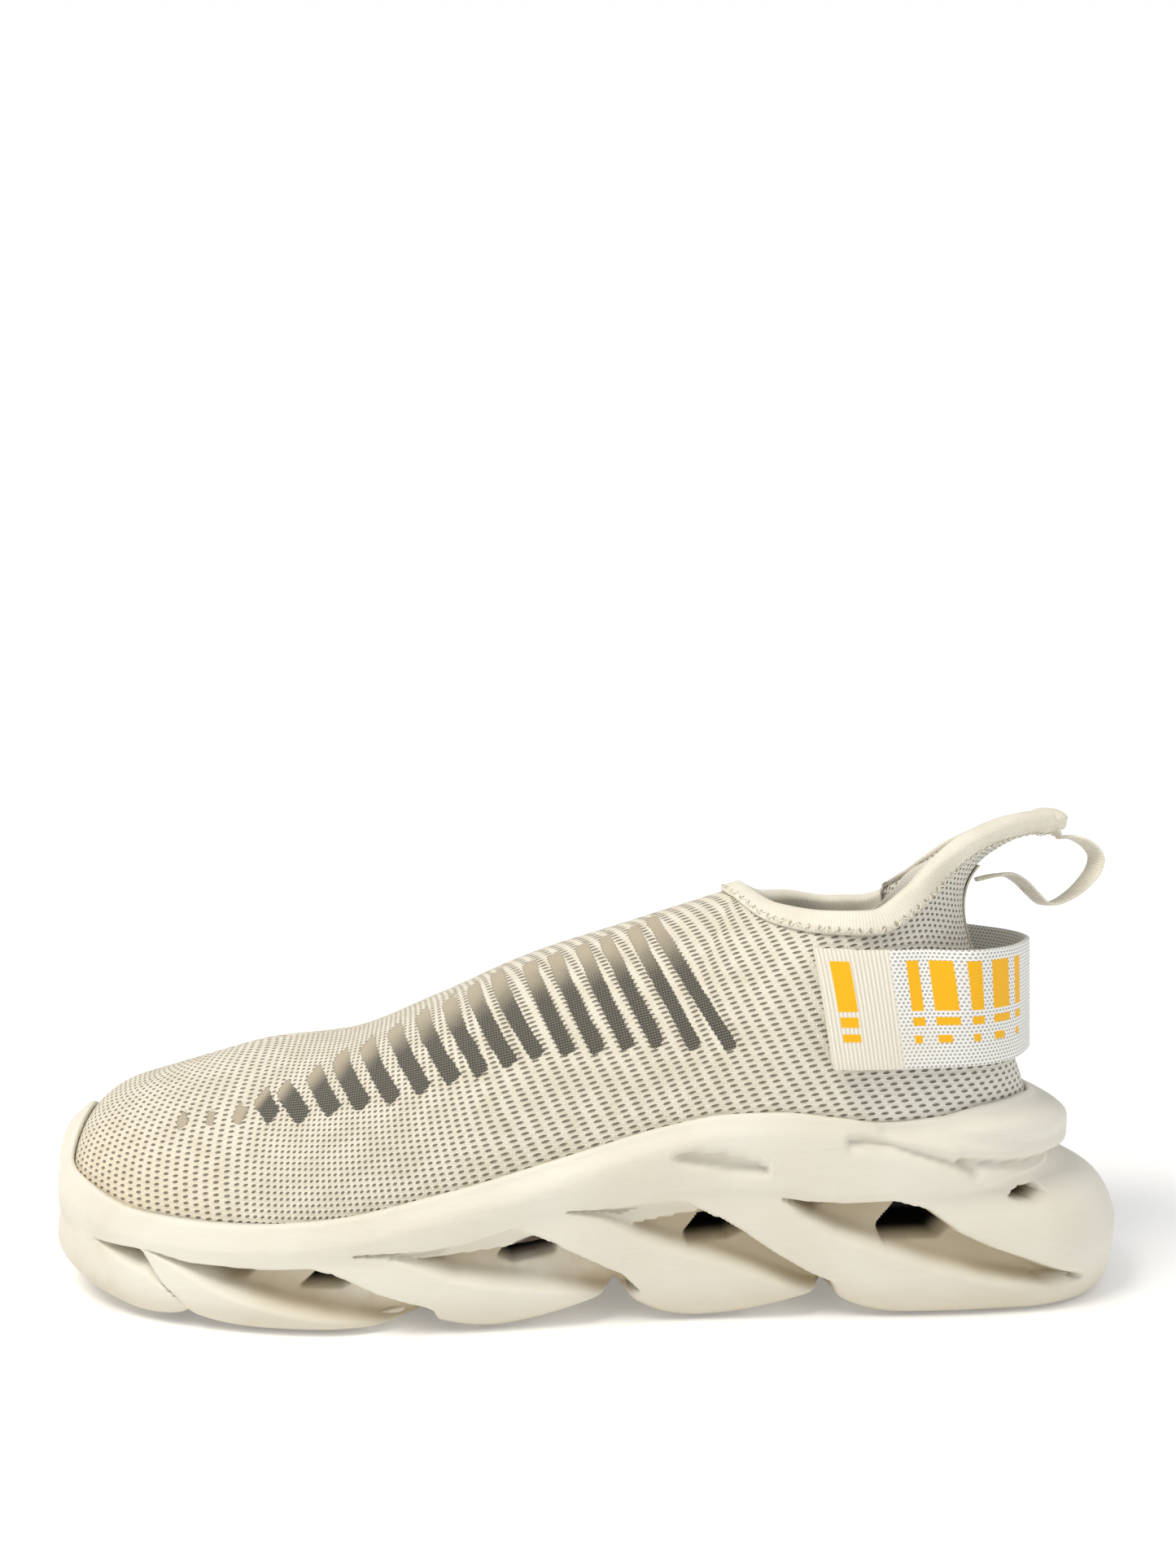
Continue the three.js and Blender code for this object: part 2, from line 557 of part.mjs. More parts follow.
function pad(from, to, sections) {
  const reach = { "-1": alongThrough(SOLE_EDGE["-1"]), 1: alongThrough(SOLE_EDGE[1]) };
  const rings = Array.from({ length: sections + 1 }, (_, i) => {
    const x = mix(from, to, i / sections) * LONG;
    const round = i === 0 || i === sections ? PAD_CORNER : 0;
    const left = SOLE_MIDDLE(x) - reach["-1"](x) + round;
    const right = SOLE_MIDDLE(x) + reach[1](x) - round;
    const [low, high] = [underside(x), underside(x) + PAD];
    const bevel = PAD / 3;
    return [
      vec(x, left + bevel, low), vec(x, right - bevel, low), vec(x, right, low + bevel),
      vec(x, right, high), vec(x, left, high), vec(x, left, low + bevel),
    ];
  });
  const groove = (x) => {
    const [w, low, high] = [TREAD_WIDTH / 2, underside(x) - TREAD_DEPTH, underside(x) + TREAD_DEPTH];
    const outline = [[x - w, low], [x + w, low], [x + w / 2, high], [x - w / 2, high]];
    const ring = (y) => outline.map(([px, pz]) => vec(px, y, pz));
    return solidOf(outward(swept([ring(-FAR_OUT), ring(FAR_OUT)])));
  };
  let rubber = solidOf(outward(swept(rings)));
  for (let x = from * LONG + TREAD_PITCH; x < to * LONG - TREAD_PITCH / 2; x += TREAD_PITCH) {
    rubber = rubber.subtract(groove(x));
  }
  return geometryOf(rubber);
}

// ---------------------------------------------------------------- board and insole
const slab = (inset, low, thick) =>
  stacked([loopOff(-inset, (x) => footbed(x) + low), loopOff(-inset, (x) => footbed(x) + low + thick)]);
const INSOLE_INSET = INSIDE_STIFFENER + LINER + INSOLE_ROOM;
const INSOLE_LOW = 2 * GAP + BOARD;

// ---------------------------------------------------------------- strap and pull loop
// Plan of the strap behind the ankle, x and half width, beyond where it lies on the knit.
const STRAP_FREE = [[100, 33.4], [107, 30], [113, 24.8], [118.5, 17], [122.8, 8.5], [124.2, 0]];
const STRAP_LAID = [64, 71, 79, 89]; // x of points where it lies on the knit, front end first
const STRAP_SLANT = 4; // lean of its front end over its width
const STRAP_STRETCH = 5; // how far back it pulls
const STRAP_EASE = 0.3; // slack between the sewn ends and the knit

// One edge line of the strap: it stays outside all of the knit that it passes when it stretches.
function strapEdge(share) {
  const height = STRAP_BOTTOM * HIGH + share * STRAP_WIDTH;
  const knit = Array.from({ length: 60 }, (_, i) => {
    const s = mix(3.2, 7.4, i / 59);
    const point = upperPoint(s, wallShare(s, height));
    return [point.x, -point.y];
  });
  const laid = STRAP_LAID.map((place, i) => {
    const x = place * LONG - (i === 0 ? share * STRAP_SLANT : 0);
    const passed = knit.filter((p) => p[0] > x - 1 && p[0] < x + STRAP_STRETCH + 1).map((p) => p[1]);
    return vec(x, -Math.max(...passed) - GAP - STRAP_EASE - STRAP, height);
  });
  const side = [...laid, ...STRAP_FREE.map(([x, y]) => vec(x * LONG, -y * WIDE, height))];
  const other = side.slice(0, -1).reverse().map((p) => vec(p.x, -p.y, p.z));
  return new THREE.CatmullRomCurve3([...side, ...other], false, "centripetal");
}

function heelStrap() {
  const lines = [0, 1 / 3, 2 / 3, 1].map(strapEdge);
  const count = 40;
  const hem = STRAP_HEM / lines[0].getLength();
  const step = 0.004;
  const even = Array.from({ length: count + 1 }, (_, i) => i / count);
  const shares = even.filter((share) => share <= hem || share >= hem + 2 * step);
  shares.push(hem, hem + step, 1 - hem - step, 1 - hem);
  const rings = shares.sort((a, b) => a - b).map((share) => {
    const hemmed = share <= hem || share >= 1 - hem;
    const face = (line, distance) => {
      const tangent = line.getTangentAt(share);
      return line.getPointAt(share).addScaledVector(vec(tangent.y, -tangent.x, 0).normalize(), distance);
    };
    return [
      ...lines.map((line) => face(line, STRAP)),
      ...lines.map((line) => face(line, hemmed ? -STRAP : 0)).reverse(),
    ];
  });
  return outward(swept(rings));
}

// Side view of the loop from the tab tip round to the back of the collar, x and height.
const LOOP_PATH = [
  [136.8, 121.6], [141.6, 121.5], [146, 119.2], [148, 116], [147.2, 112.2], [143.6, 107.6], [139.6, 104.4],
  [135.8, 102.6], [132.8, 102.6], [129.6, 105.4], [126, 108.2], [122.6, 110.8], [118, 110.5], [113.3, 109.4],
];
const LOOP_TAPER = 1 / 9; // share of its length over which it widens from each tack

function pullLoop() {
  const path = toScale(LOOP_PATH).map(([x, z]) => vec(x, 0, z));
  const curve = new THREE.CatmullRomCurve3(path, false, "centripetal");
  const count = 30;
  const rings = Array.from({ length: count + 1 }, (_, i) => {
    const share = i / count;
    const p = curve.getPointAt(share);
    const tangent = curve.getTangentAt(share);
    const out = vec(tangent.z, 0, -tangent.x).multiplyScalar(LOOP / 2);
    const open = clamp(Math.min(share, 1 - share) / LOOP_TAPER, 0, 1);
    const half = mix(LOOP_TACK, LOOP_WIDTH, open) / 2;
    const corner = (side, y) => p.clone().addScaledVector(out, side).setY(y);
    return [corner(-1, -half), corner(1, -half), corner(1, half), corner(-1, half)];
  });
  return outward(swept(rings));
}

// ---------------------------------------------------------------- assembly
const FOAM = { color: 0xf1ebdc, roughness: 0.62, metalness: 0 };
const RUBBER = { color: 0xd9d0bd, roughness: 0.7, metalness: 0 };
const KNITTED = { color: 0xece6d6, roughness: 0.95, metalness: 0 };
const RIBBED = { color: 0xe9e2d0, roughness: 0.9, metalness: 0 };
const MESH_LINER = { color: 0x8d857a, roughness: 0.95, metalness: 0 };
const SOFT = { color: 0xd8d2c4, roughness: 0.95, metalness: 0 };
const WOVEN = { color: 0xf0ece2, roughness: 0.85, metalness: 0 };
const BOARD_CLOTH = { color: 0xc9c2b2, roughness: 0.95, metalness: 0 };

const PIECES = {
  midsole: [midsole, FOAM],
  outsole_toe: [() => pad(-144, -104.5, 6), RUBBER],
  outsole_ball: [() => pad(-94, -45, 5), RUBBER],
  outsole_forefoot: [() => pad(-33.5, 3, 4), RUBBER],
  outsole_arch: [() => pad(14.5, 56.5, 4), RUBBER],
  outsole_heel: [() => pad(68, 137, 8), RUBBER],
  strobel_board: [() => slab(INSIDE_KNIT + BOARD_ROOM, GAP, BOARD), BOARD_CLOTH],
  insole_foam: [() => slab(INSOLE_INSET, INSOLE_LOW, INSOLE_FOAM), SOFT],
  insole_cover: [() => slab(INSOLE_INSET, INSOLE_LOW + INSOLE_FOAM + GAP, INSOLE_COVER), KNITTED],
  knit_upper: [knitUpper, KNITTED],
  toe_puff: [toePuff, SOFT],
  heel_counter: [heelCounter, SOFT],
  ankle_foam_lateral: [() => ankleFoam(4.5, 7.5), SOFT],
  ankle_foam_medial: [() => ankleFoam(-7.5, -4.5), SOFT],
  heel_lining: [heelLining, WOVEN],
  instep_liner: [instepLiner, MESH_LINER],
  collar_binding: [collarBinding, RIBBED],
  back_seam_tape: [backSeamTape, RIBBED],
  heel_strap: [heelStrap, WOVEN],
  pull_loop: [pullLoop, RIBBED],
};

const shoe = new THREE.Group();
shoe.name = "running_shoe";
for (const [name, [make, look]] of Object.entries(PIECES)) {
  const piece = new THREE.Mesh(geometryOf(solidOf(make())), new THREE.MeshStandardMaterial(look));
  piece.name = name;
  shoe.add(piece);
}
const middle = new THREE.Box3().setFromObject(shoe).getCenter(vec(0, 0, 0));
shoe.children.forEach((piece) => piece.geometry.translate(-middle.x, -middle.y, 0));

export default shoe;
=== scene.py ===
# A slip-on knit running shoe for the left foot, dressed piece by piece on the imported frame.
# Lengths in the tables are millimetres; meshes are metres. Toe at -X, heel at +X, lateral side at -Y.
import math

import bmesh
import bpy
import numpy as np
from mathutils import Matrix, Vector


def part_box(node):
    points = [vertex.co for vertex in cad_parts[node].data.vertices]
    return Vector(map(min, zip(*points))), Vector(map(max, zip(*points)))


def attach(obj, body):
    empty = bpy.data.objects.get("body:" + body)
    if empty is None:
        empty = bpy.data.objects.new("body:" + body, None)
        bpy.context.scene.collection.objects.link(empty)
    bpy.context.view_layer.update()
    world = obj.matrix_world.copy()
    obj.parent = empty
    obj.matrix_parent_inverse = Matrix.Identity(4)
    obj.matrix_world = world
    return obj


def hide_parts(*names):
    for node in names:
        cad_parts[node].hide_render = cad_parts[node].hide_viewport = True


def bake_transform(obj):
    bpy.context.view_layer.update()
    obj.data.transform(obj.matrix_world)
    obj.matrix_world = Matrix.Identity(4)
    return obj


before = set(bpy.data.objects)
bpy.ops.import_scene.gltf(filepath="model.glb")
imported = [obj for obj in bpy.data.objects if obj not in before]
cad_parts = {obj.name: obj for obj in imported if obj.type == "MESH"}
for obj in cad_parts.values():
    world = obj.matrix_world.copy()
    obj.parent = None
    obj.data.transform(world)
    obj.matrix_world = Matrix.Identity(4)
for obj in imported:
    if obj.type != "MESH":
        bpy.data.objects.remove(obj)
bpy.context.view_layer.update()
for loaded in list(bpy.context.selected_objects):
    loaded.select_set(False)

# ------------------------------------------------------------------ the studio
# The shoe stands on a white table top in a white room, looked at from close by on the lateral side,
# from a little above the collar. A soft lamp hangs above the toe end, a weaker one beside the heel.
eye = bpy.data.objects.new("eye", bpy.data.cameras.new("eye"))
bpy.context.collection.objects.link(eye)
eye.location = (0.0013, -0.341, 0.137)
eye.rotation_euler = (math.pi / 2, 0, 0)
eye.data.lens = 27.07
eye.data.clip_start = 0.01
bpy.context.scene.camera = eye

bpy.ops.mesh.primitive_plane_add(size=12, location=(0, 0, -0.0002))
table_top = bpy.context.object
table_top.name = "table_top"
bpy.ops.object.transform_apply(location=True, rotation=True, scale=True)
white_laminate = bpy.data.materials.new("white_laminate")
white_laminate.use_nodes = True
laminate = white_laminate.node_tree
laminate_face = laminate.nodes["Principled BSDF"]
laminate_face.inputs["Base Color"].default_value = (0.93, 0.93, 0.93, 1)
laminate_face.inputs["Roughness"].default_value = 0.9
# Painted light: the table top glows by itself, faintly near the shoe and more strongly farther out, so the
# far floor fades to white while the shadow near the shoe stays.
laminate_face.inputs["Emission Strength"].default_value = 1
spot = laminate.nodes.new("ShaderNodeTexCoord")
away = laminate.nodes.new("ShaderNodeVectorMath")
away.operation = "LENGTH"
glow = laminate.nodes.new("ShaderNodeMapRange")
for socket, value in (("From Min", 0.2), ("From Max", 1.1), ("To Min", 0.16), ("To Max", 0.7)):
    glow.inputs[socket].default_value = value
laminate.links.new(spot.outputs["Object"], away.inputs[0])
laminate.links.new(away.outputs["Value"], glow.inputs["Value"])
laminate.links.new(glow.outputs[0], laminate_face.inputs["Emission Color"])
table_top.data.materials.append(white_laminate)

room = bpy.data.worlds.new("room")
bpy.context.scene.world = room
room.use_nodes = True
walls = room.node_tree
dim_walls = walls.nodes["Background"]
dim_walls.inputs["Color"].default_value = (0.97, 0.985, 1, 1)
dim_walls.inputs["Strength"].default_value = 0.52
white_wall = walls.nodes.new("ShaderNodeBackground")
white_wall.inputs["Color"].default_value = (1, 1, 1, 1)
seen = walls.nodes.new("ShaderNodeLightPath")
wall_or_light = walls.nodes.new("ShaderNodeMixShader")
walls.links.new(seen.outputs["Is Camera Ray"], wall_or_light.inputs["Fac"])
walls.links.new(dim_walls.outputs[0], wall_or_light.inputs[1])
walls.links.new(white_wall.outputs[0], wall_or_light.inputs[2])
walls.links.new(wall_or_light.outputs[0], walls.nodes["World Output"].inputs["Surface"])
bpy.context.scene.view_settings.view_transform = "Standard"


def hang_lamp(name, place, aim, size, watts, colour):
    lamp = bpy.data.objects.new(name, bpy.data.lights.new(name, "AREA"))
    bpy.context.collection.objects.link(lamp)
    lamp.data.size = size
    lamp.data.energy = watts
    lamp.data.color = colour
    lamp.location = place
    step = [b - a for a, b in zip(place, aim)]
    level = math.hypot(step[0], step[1])
    lamp.rotation_euler = (math.atan2(level, -step[2]), 0, math.atan2(step[1], step[0]) - math.pi / 2)


hang_lamp("window", (-0.5, -0.35, 1.0), (0, 0, 0.05), 0.5, 9.5, (1, 0.94, 0.84))
hang_lamp("heel_fill", (0.9, -0.5, 0.8), (0, 0, 0.05), 0.6, 1.8, (1, 0.97, 0.92))


# ------------------------------------------------------------------ the last
# The form that a shoe is built on. Stations run from the centre of the heel out to the toe tip, one
# row for both sides; the upper is stretched over it and the foam cups its foot.
MM = 0.001
CLEARANCE = 0.35
STATIONS = np.array([
    # foot x, lateral y, medial y, rise x, half, z, lean x, half, z, top x, half, z,
    # axis, rim, keel, flare, valley, lip
    [127, 0, 0, 131, 0, 75, 76, 0, 110, 138, 0, 125.5, 0, 51, 36.5, 23, 5.5, 9.5],
    [124.5, -12, 12, 128, 12.5, 75, 77, 9, 110, 133, 5, 126.6, 0, 52, 36, 21, 5.5, 9],
    [117, -23, 23, 120, 24, 75, 79, 18, 108, 121, 13, 126, 0, 53, 34, 15, 5, 7.5],
    [105, -30.5, 30, 107, 31.5, 75, 82, 25, 105, 107, 20, 122.3, 0, 52.5, 32, 8.5, 4.5, 6],
    [92, -34, 33, 93, 35, 73, 84, 29, 101, 95.5, 25, 116, 0, 50.5, 30.5, 6, 4.2, 5.2],
    [78, -35.5, 33.5, 78, 37, 70, 80, 32, 94, 86, 28.5, 108.2, 0, 49.5, 30, 5, 4, 4.8],
    [64, -36, 32.5, 64, 38, 66, 71, 33.5, 88, 76, 30, 102.4, 0, 51, 29.5, 4.7, 3.9, 4.6],
    [50, -36.3, 31.5, 50, 38.5, 64, 58, 33, 86, 64, 26, 102, 0, 52.3, 31.5, 4.6, 3.9, 4.6],
    [36, -37, 31, 36, 39, 62, 47, 28, 92, 53, 15.5, 103, 0, 51.7, 32, 4.5, 3.9, 4.6],
    [18, -38.5, 32, 18, 40.5, 58, 36, 21, 104, 45, 0, 107.6, 0, 48.5, 31, 4.5, 3.9, 4.6],
    [-8, -41.5, 35, -8, 43.5, 52, 10, 20, 97, 14, 0, 97.5, 1, 41.3, 28.5, 4.5, 3.9, 4.6],
    [-36, -45, 41, -36, 48, 46, -18, 22, 87, -15, 0, 88, 2, 34, 21.5, 4.5, 3.9, 4.6],
    [-64, -46, 46, -65, 49.5, 43, -45, 23, 75, -43, 0, 75.5, 3, 28, 18, 4.5, 3.9, 4.4],
    [-90, -43, 46.5, -91.5, 46.5, 42, -70, 24, 65, -69, 0, 65.3, 4, 26, 16.5, 4.5, 3.9, 4.2],
    [-112, -36.5, 42, -114.5, 39.5, 41, -93, 22, 61.8, -91, 0, 62.8, 4.5, 26.5, 17.5, 4.5, 4, 4.2],
    [-129, -27, 34, -132.5, 28.5, 40, -112, 16, 57.2, -108, 0, 58.3, 5, 29.5, 18, 4.5, 4, 4.2],
    [-141, -13, 23, -145.5, 14.5, 40, -128, 9, 52.8, -119, 0, 55.2, 5, 33.5, 19, 4.5, 4, 4.4],
    [-145.5, 5, 5, -150.5, 0, 41, -136, 0, 51.5, -126, 0, 53, 5, 43, 20, 4.5, 4, 4.6],
])
FOOT, RISE, LEAN, TOP, AXIS, RIM, KEEL, FLARE, VALLEY, LIP = 0, 3, 6, 9, 12, 13, 14, 15, 16, 17
MEDIAL_DROP = np.array([0, 0.5, 4.5, 12, 12, 7, 1.5, -0.8, -0.8, 0])
TOE = len(STATIONS) - 1
ROUND = 2 * TOE
COLLAR_FRONT = 9
strap_low, strap_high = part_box("heel_strap")
shift = np.array([strap_high[0] / MM - 125.6, (strap_low[1] + strap_high[1]) / 2 / MM, 0])
FOOTBED = np.array([
    [-150, 25], [-130, 21.5], [-112, 19], [-85, 18], [-50, 19], [-20, 21.5], [10, 25.5], [40, 30],
    [70, 32.5], [100, 33], [150, 33],
])
UNDERSIDE = np.array([
    [-150, 10], [-140, 7], [-125, 3.2], [-112, 0.8], [-103, 0], [120, 0], [132, 2], [150, 6],
])


def even_slope(before, after):
    together = before * after
    return np.where(together > 0, 2 * together / np.where(together > 0, before + after, 1), 0)


def hermite(a, b, slope_a, slope_b, t):
    curl = 2 * (a - b) + slope_a + slope_b
    return a + t * (slope_a + t * (3 * (b - a) - 2 * slope_a - slope_b + t * curl))


def run_round(values, s):
    """A closed smooth run through evenly spaced values."""
    values = np.asarray(values, float)
    rise = np.roll(values, -1) - values
    slope = even_slope(np.roll(rise, 1), rise)
    i = np.floor(s).astype(int) % len(values)
    j = (i + 1) % len(values)
    return hermite(values[i], values[j], slope[i], slope[j], s - np.floor(s))


def run_along(points, x):
    """A smooth height at x through points in rising order."""
    px, pz = np.asarray(points, float).T
    rate = np.diff(pz) / np.diff(px)
    slope = np.concatenate([[rate[0]], even_slope(rate[:-1], rate[1:]), [rate[-1]]])
    x = np.clip(x, px[0], px[-1])
    i = np.clip(np.searchsorted(px, x) - 1, 0, len(px) - 2)
    span = px[i + 1] - px[i]
    return hermite(pz[i], pz[i + 1], slope[i] * span, slope[i + 1] * span, (x - px[i]) / span)


def both_sides(lateral, medial):
    return np.concatenate([lateral[: TOE + 1], medial[1:TOE][::-1]])


def handle(first, s, centred=True):
    """One control point of the wall at every station in s."""
    half, axis = STATIONS[:, first + 1], STATIONS[:, AXIS]
    shift = axis if centred else np.where(half == 0, axis, 0)
    return np.stack([
        run_round(both_sides(STATIONS[:, first], STATIONS[:, first]), s),
        run_round(both_sides(shift - half, shift + half), s),
        run_round(both_sides(STATIONS[:, first + 2], STATIONS[:, first + 2]), s),
    ], -1)


def level(column, s):
    return run_round(both_sides(STATIONS[:, column], STATIONS[:, column]), s)


def foot_line(s):
    s = np.mod(s, ROUND)
    x = level(FOOT, s)
    y = run_round(both_sides(STATIONS[:, FOOT + 1], STATIONS[:, FOOT + 2]), s)
    return np.stack([x, y, run_along(FOOTBED, x) + CLEARANCE], -1)


def top_line(s):
    """The collar edge, and in front of it the ridge of the instep."""
    around = np.mod(s, ROUND)
    near = np.minimum(around, ROUND - around)
    rows = STATIONS[: COLLAR_FRONT + 1]
    at = np.where(around <= COLLAR_FRONT, around, around - ROUND + 2 * COLLAR_FRONT)
    low_side = rows[:, TOP + 2] - MEDIAL_DROP
    collar = np.stack([
        run_round(np.concatenate([rows[:, TOP], rows[1:-1, TOP][::-1]]), at),
        run_round(np.concatenate([-rows[:, TOP + 1], rows[1:-1, TOP + 1][::-1]]), at),
        run_round(np.concatenate([rows[:, TOP + 2], low_side[1:-1][::-1]]), at),
    ], -1)
    ahead = np.arange(TOE - COLLAR_FRONT + 1)
    ridge = np.stack([
        run_along(np.stack([ahead, STATIONS[COLLAR_FRONT:, TOP]], 1), near - COLLAR_FRONT),
        level(AXIS, around),
        run_along(np.stack([ahead, STATIONS[COLLAR_FRONT:, TOP + 2]], 1), near - COLLAR_FRONT),
    ], -1)
    return np.where((near <= COLLAR_FRONT)[..., None], collar, ridge)


def wall(s, t):
    """A point on the outside of the upper: s goes round the shoe, t from its foot to its top edge."""
    s, t = np.broadcast_arrays(np.mod(np.asarray(s, float), ROUND), np.asarray(t, float))
    u, t = (1 - t)[..., None], t[..., None]
    rise, lean = handle(RISE, s, centred=False), handle(LEAN, s)
    return u**3 * foot_line(s) + 3 * u * u * t * rise + 3 * u * t * t * lean + t**3 * top_line(s)


def wall_normal(s, t):
    s, t = np.broadcast_arrays(np.asarray(s, float), np.asarray(t, float))
    around = np.mod(s, ROUND)
    on_ridge = (np.minimum(around, ROUND - around) >= COLLAR_FRONT) & (t > 0.97)
    low = np.where(on_ridge, 0.97, t)

    def one_side(at):
        along = wall(at - 0.02, low) - wall(at + 0.02, low)
        up = wall(at, np.minimum(low + 0.01, 1)) - wall(at, np.maximum(low - 0.01, 0))
        n = np.cross(along, up)
        return n / np.linalg.norm(n, axis=-1, keepdims=True)

    n = one_side(around)
    other = one_side(ROUND - around)
    weight = np.where(on_ridge, 0.5 * (t - 0.97) / 0.03, 0)[..., None]
    n = n * (1 - weight) + other * weight
    return n / np.linalg.norm(n, axis=-1, keepdims=True)


def wall_share(s, height):
    """How far up the wall a height lies."""
    low, high = np.zeros_like(s, float), np.ones_like(s, float)
    for _ in range(22):
        middle = (low + high) / 2
        below = wall(s, middle)[..., 2] < height
        low, high = np.where(below, middle, low), np.where(below, high, middle)
    return low


# ------------------------------------------------------------------ midsole
# One piece of moulded foam. Five lobes sweep up into blades that run into a rim round the foot of the
# upper; between the blades the mould leaves cells with a leaning strut and a deep hollow in each.
PAD = 2.9
RIM_WALL = 2.6
SKIRT = 0.5
FOAM_COLUMNS = 1100


def from_grid(name, grid, uvs=(), join=0.02, marks=()):
    """A mesh of quads over a grid of points in millimetres, with its flat patterns and marked values."""
    rows, columns = grid.shape[:2]
    index = np.arange(rows * columns).reshape(rows, columns)
    quads = np.stack([index[:-1, :-1], index[:-1, 1:], index[1:, 1:], index[1:, :-1]], -1).reshape(-1, 4)
    points = (grid.reshape(-1, 3) + shift) * MM
    mesh = bpy.data.meshes.new(name)
    mesh.from_pydata(points.tolist(), [], quads.tolist())
    for label, uv in uvs:
        layer = mesh.uv_layers.new(name=label)
        layer.data.foreach_set("uv", uv.reshape(-1, 2)[quads.reshape(-1)].reshape(-1).astype(np.float32))
    for label, values in marks:
        mark = mesh.attributes.new(label, "FLOAT", "POINT")
        mark.data.foreach_set("value", values.reshape(-1).astype(np.float32))
    shell = bmesh.new()
    shell.from_mesh(mesh)
    bmesh.ops.remove_doubles(shell, verts=shell.verts, dist=join * MM)
    bmesh.ops.dissolve_degenerate(shell, edges=shell.edges, dist=join * MM / 10)
    shell.to_mesh(mesh)
    shell.free()
    mesh.polygons.foreach_set("use_smooth", np.ones(len(mesh.polygons), bool))
    piece = bpy.data.objects.new(name, mesh)
    bpy.context.collection.objects.link(piece)
    return piece


def apply_modifier(piece, kind, **settings):
    modifier = piece.modifiers.new(kind.lower(), kind)
    for key, value in settings.items():
        setattr(modifier, key, value)
    bpy.context.view_layer.objects.active = piece
    bpy.ops.object.modifier_apply(modifier=modifier.name)


def face_out(piece):
    """Turns a closed piece's faces outwards."""
    shell = bmesh.new()
    shell.from_mesh(piece.data)
    bmesh.ops.recalc_face_normals(shell, faces=shell.faces)
    if shell.calc_volume(signed=True) < 0:
        bmesh.ops.reverse_faces(shell, faces=shell.faces)
    shell.to_mesh(piece.data)
    shell.free()


class Yarn:
    """A value, colour or vector on its way through a material, with sums written as sums."""

    def __init__(self, tree, socket):
        self.tree = tree
        self.socket = socket

    def node(self, kind, sockets=(), out=0, stops=None, **settings):
        made = self.tree.nodes.new(kind)
        for key, value in settings.items():
            setattr(made, key, value)
        if stops:
            ramp = made.color_ramp.elements
            while len(ramp) < len(stops):
                ramp.new(0.5)
            for element, (place, colour) in zip(ramp, stops):
                element.position = place
                element.color = colour
        for key, value in dict(sockets).items():
            if isinstance(value, Yarn):
                self.tree.links.new(value.socket, made.inputs[key])
            else:
                made.inputs[key].default_value = value
        return Yarn(self.tree, made.outputs[out])

    def sum(self, operation, *others):
        return self.node("ShaderNodeMath", dict(enumerate((self, *others))), operation=operation)

    def __add__(self, other):
        return self.sum("ADD", other)

    __radd__ = __add__

    def __sub__(self, other):
        return self.sum("SUBTRACT", other)

    def __rsub__(self, other):
        return self.node("ShaderNodeMath", {0: other, 1: self}, operation="SUBTRACT")

    def __mul__(self, other):
        return self.sum("MULTIPLY", other)

    __rmul__ = __mul__

    def __truediv__(self, other):
        return self.sum("DIVIDE", other)

    def __rtruediv__(self, other):
        return self.node("ShaderNodeMath", {0: other, 1: self}, operation="DIVIDE")

    def step(self, start, end):
        """0 before start, 1 after end, smooth between."""
        sockets = {"Value": self, "From Min": start, "From Max": end}
        return self.node("ShaderNodeMapRange", sockets, interpolation_type="SMOOTHSTEP")

    def wave(self):
        """A ripple between -1 and 1, once for every whole number."""
        return (self * (2 * math.pi)).sum("SINE")

    def off_middle(self):
        """How far from the middle of its repeat, -0.5 to 0.5."""
        return self.sum("FRACT") - 0.5

    def blend(self, first, second):
        """first where this is 0, second where it is 1."""
        sockets = {"Factor": self, 6: first, 7: second}
        return self.node("ShaderNodeMix", sockets, out=2, data_type="RGBA")


def cloth_material(name, roughness):
    """A new material, the shader to fill in and the place on the piece to start sums from."""
    made = bpy.data.materials.new(name)
    made.use_nodes = True
    shader = made.node_tree.nodes["Principled BSDF"]
    shader.inputs["Roughness"].default_value = roughness
    shader.inputs["Specular IOR Level"].default_value = 0.3
    return made, shader, Yarn(made.node_tree, None).node("ShaderNodeTexCoord", out=3)


def mottle(place, scale, detail, roughness=0.5):
    """Cloudy patches, scale of them to the metre."""
    sockets = {"Vector": place, "Scale": scale, "Detail": detail, "Roughness": roughness}
    return place.node("ShaderNodeTexNoise", sockets)


def lead(value, shader, socket):
    value.tree.links.new(value.socket, shader.inputs[socket])


def raise_surface(height, shader, depth, strength=1.0):
    sockets = {"Height": height, "Distance": depth, "Strength": strength}
    lead(height.node("ShaderNodeBump", sockets), shader, "Normal")


def split(vector):
    xyz = vector.node("ShaderNodeSeparateXYZ", {0: vector})
    return [Yarn(vector.tree, xyz.socket.node.outputs[k]) for k in range(3)]


def rgb(*parts):
    """A paint colour of 0 to 255 parts as light, with full cover."""
    return tuple(((part / 255 + 0.055) / 1.055) ** 2.4 for part in parts) + (1,)


around = np.linspace(0, ROUND, 2401)
outline = foot_line(around)
mileage = np.concatenate([[0], np.cumsum(np.linalg.norm(np.diff(outline[:, :2], axis=0), axis=1))])
foam_s = np.interp(np.linspace(0, mileage[-1], FOAM_COLUMNS + 1), mileage, around)
foam_foot = foot_line(foam_s)
forward = foot_line(foam_s + 0.03) - foot_line(foam_s - 0.03)
foam_out = np.stack([forward[:, 1], -forward[:, 0], 0 * foam_s], -1)
foam_out /= -np.linalg.norm(foam_out, axis=1, keepdims=True)
NOTCHES = [(-99.5, 2.6, 16), (-39.3, 3.4, 26), (8.8, 7.8, 34), (62.2, 6.4, 32)]


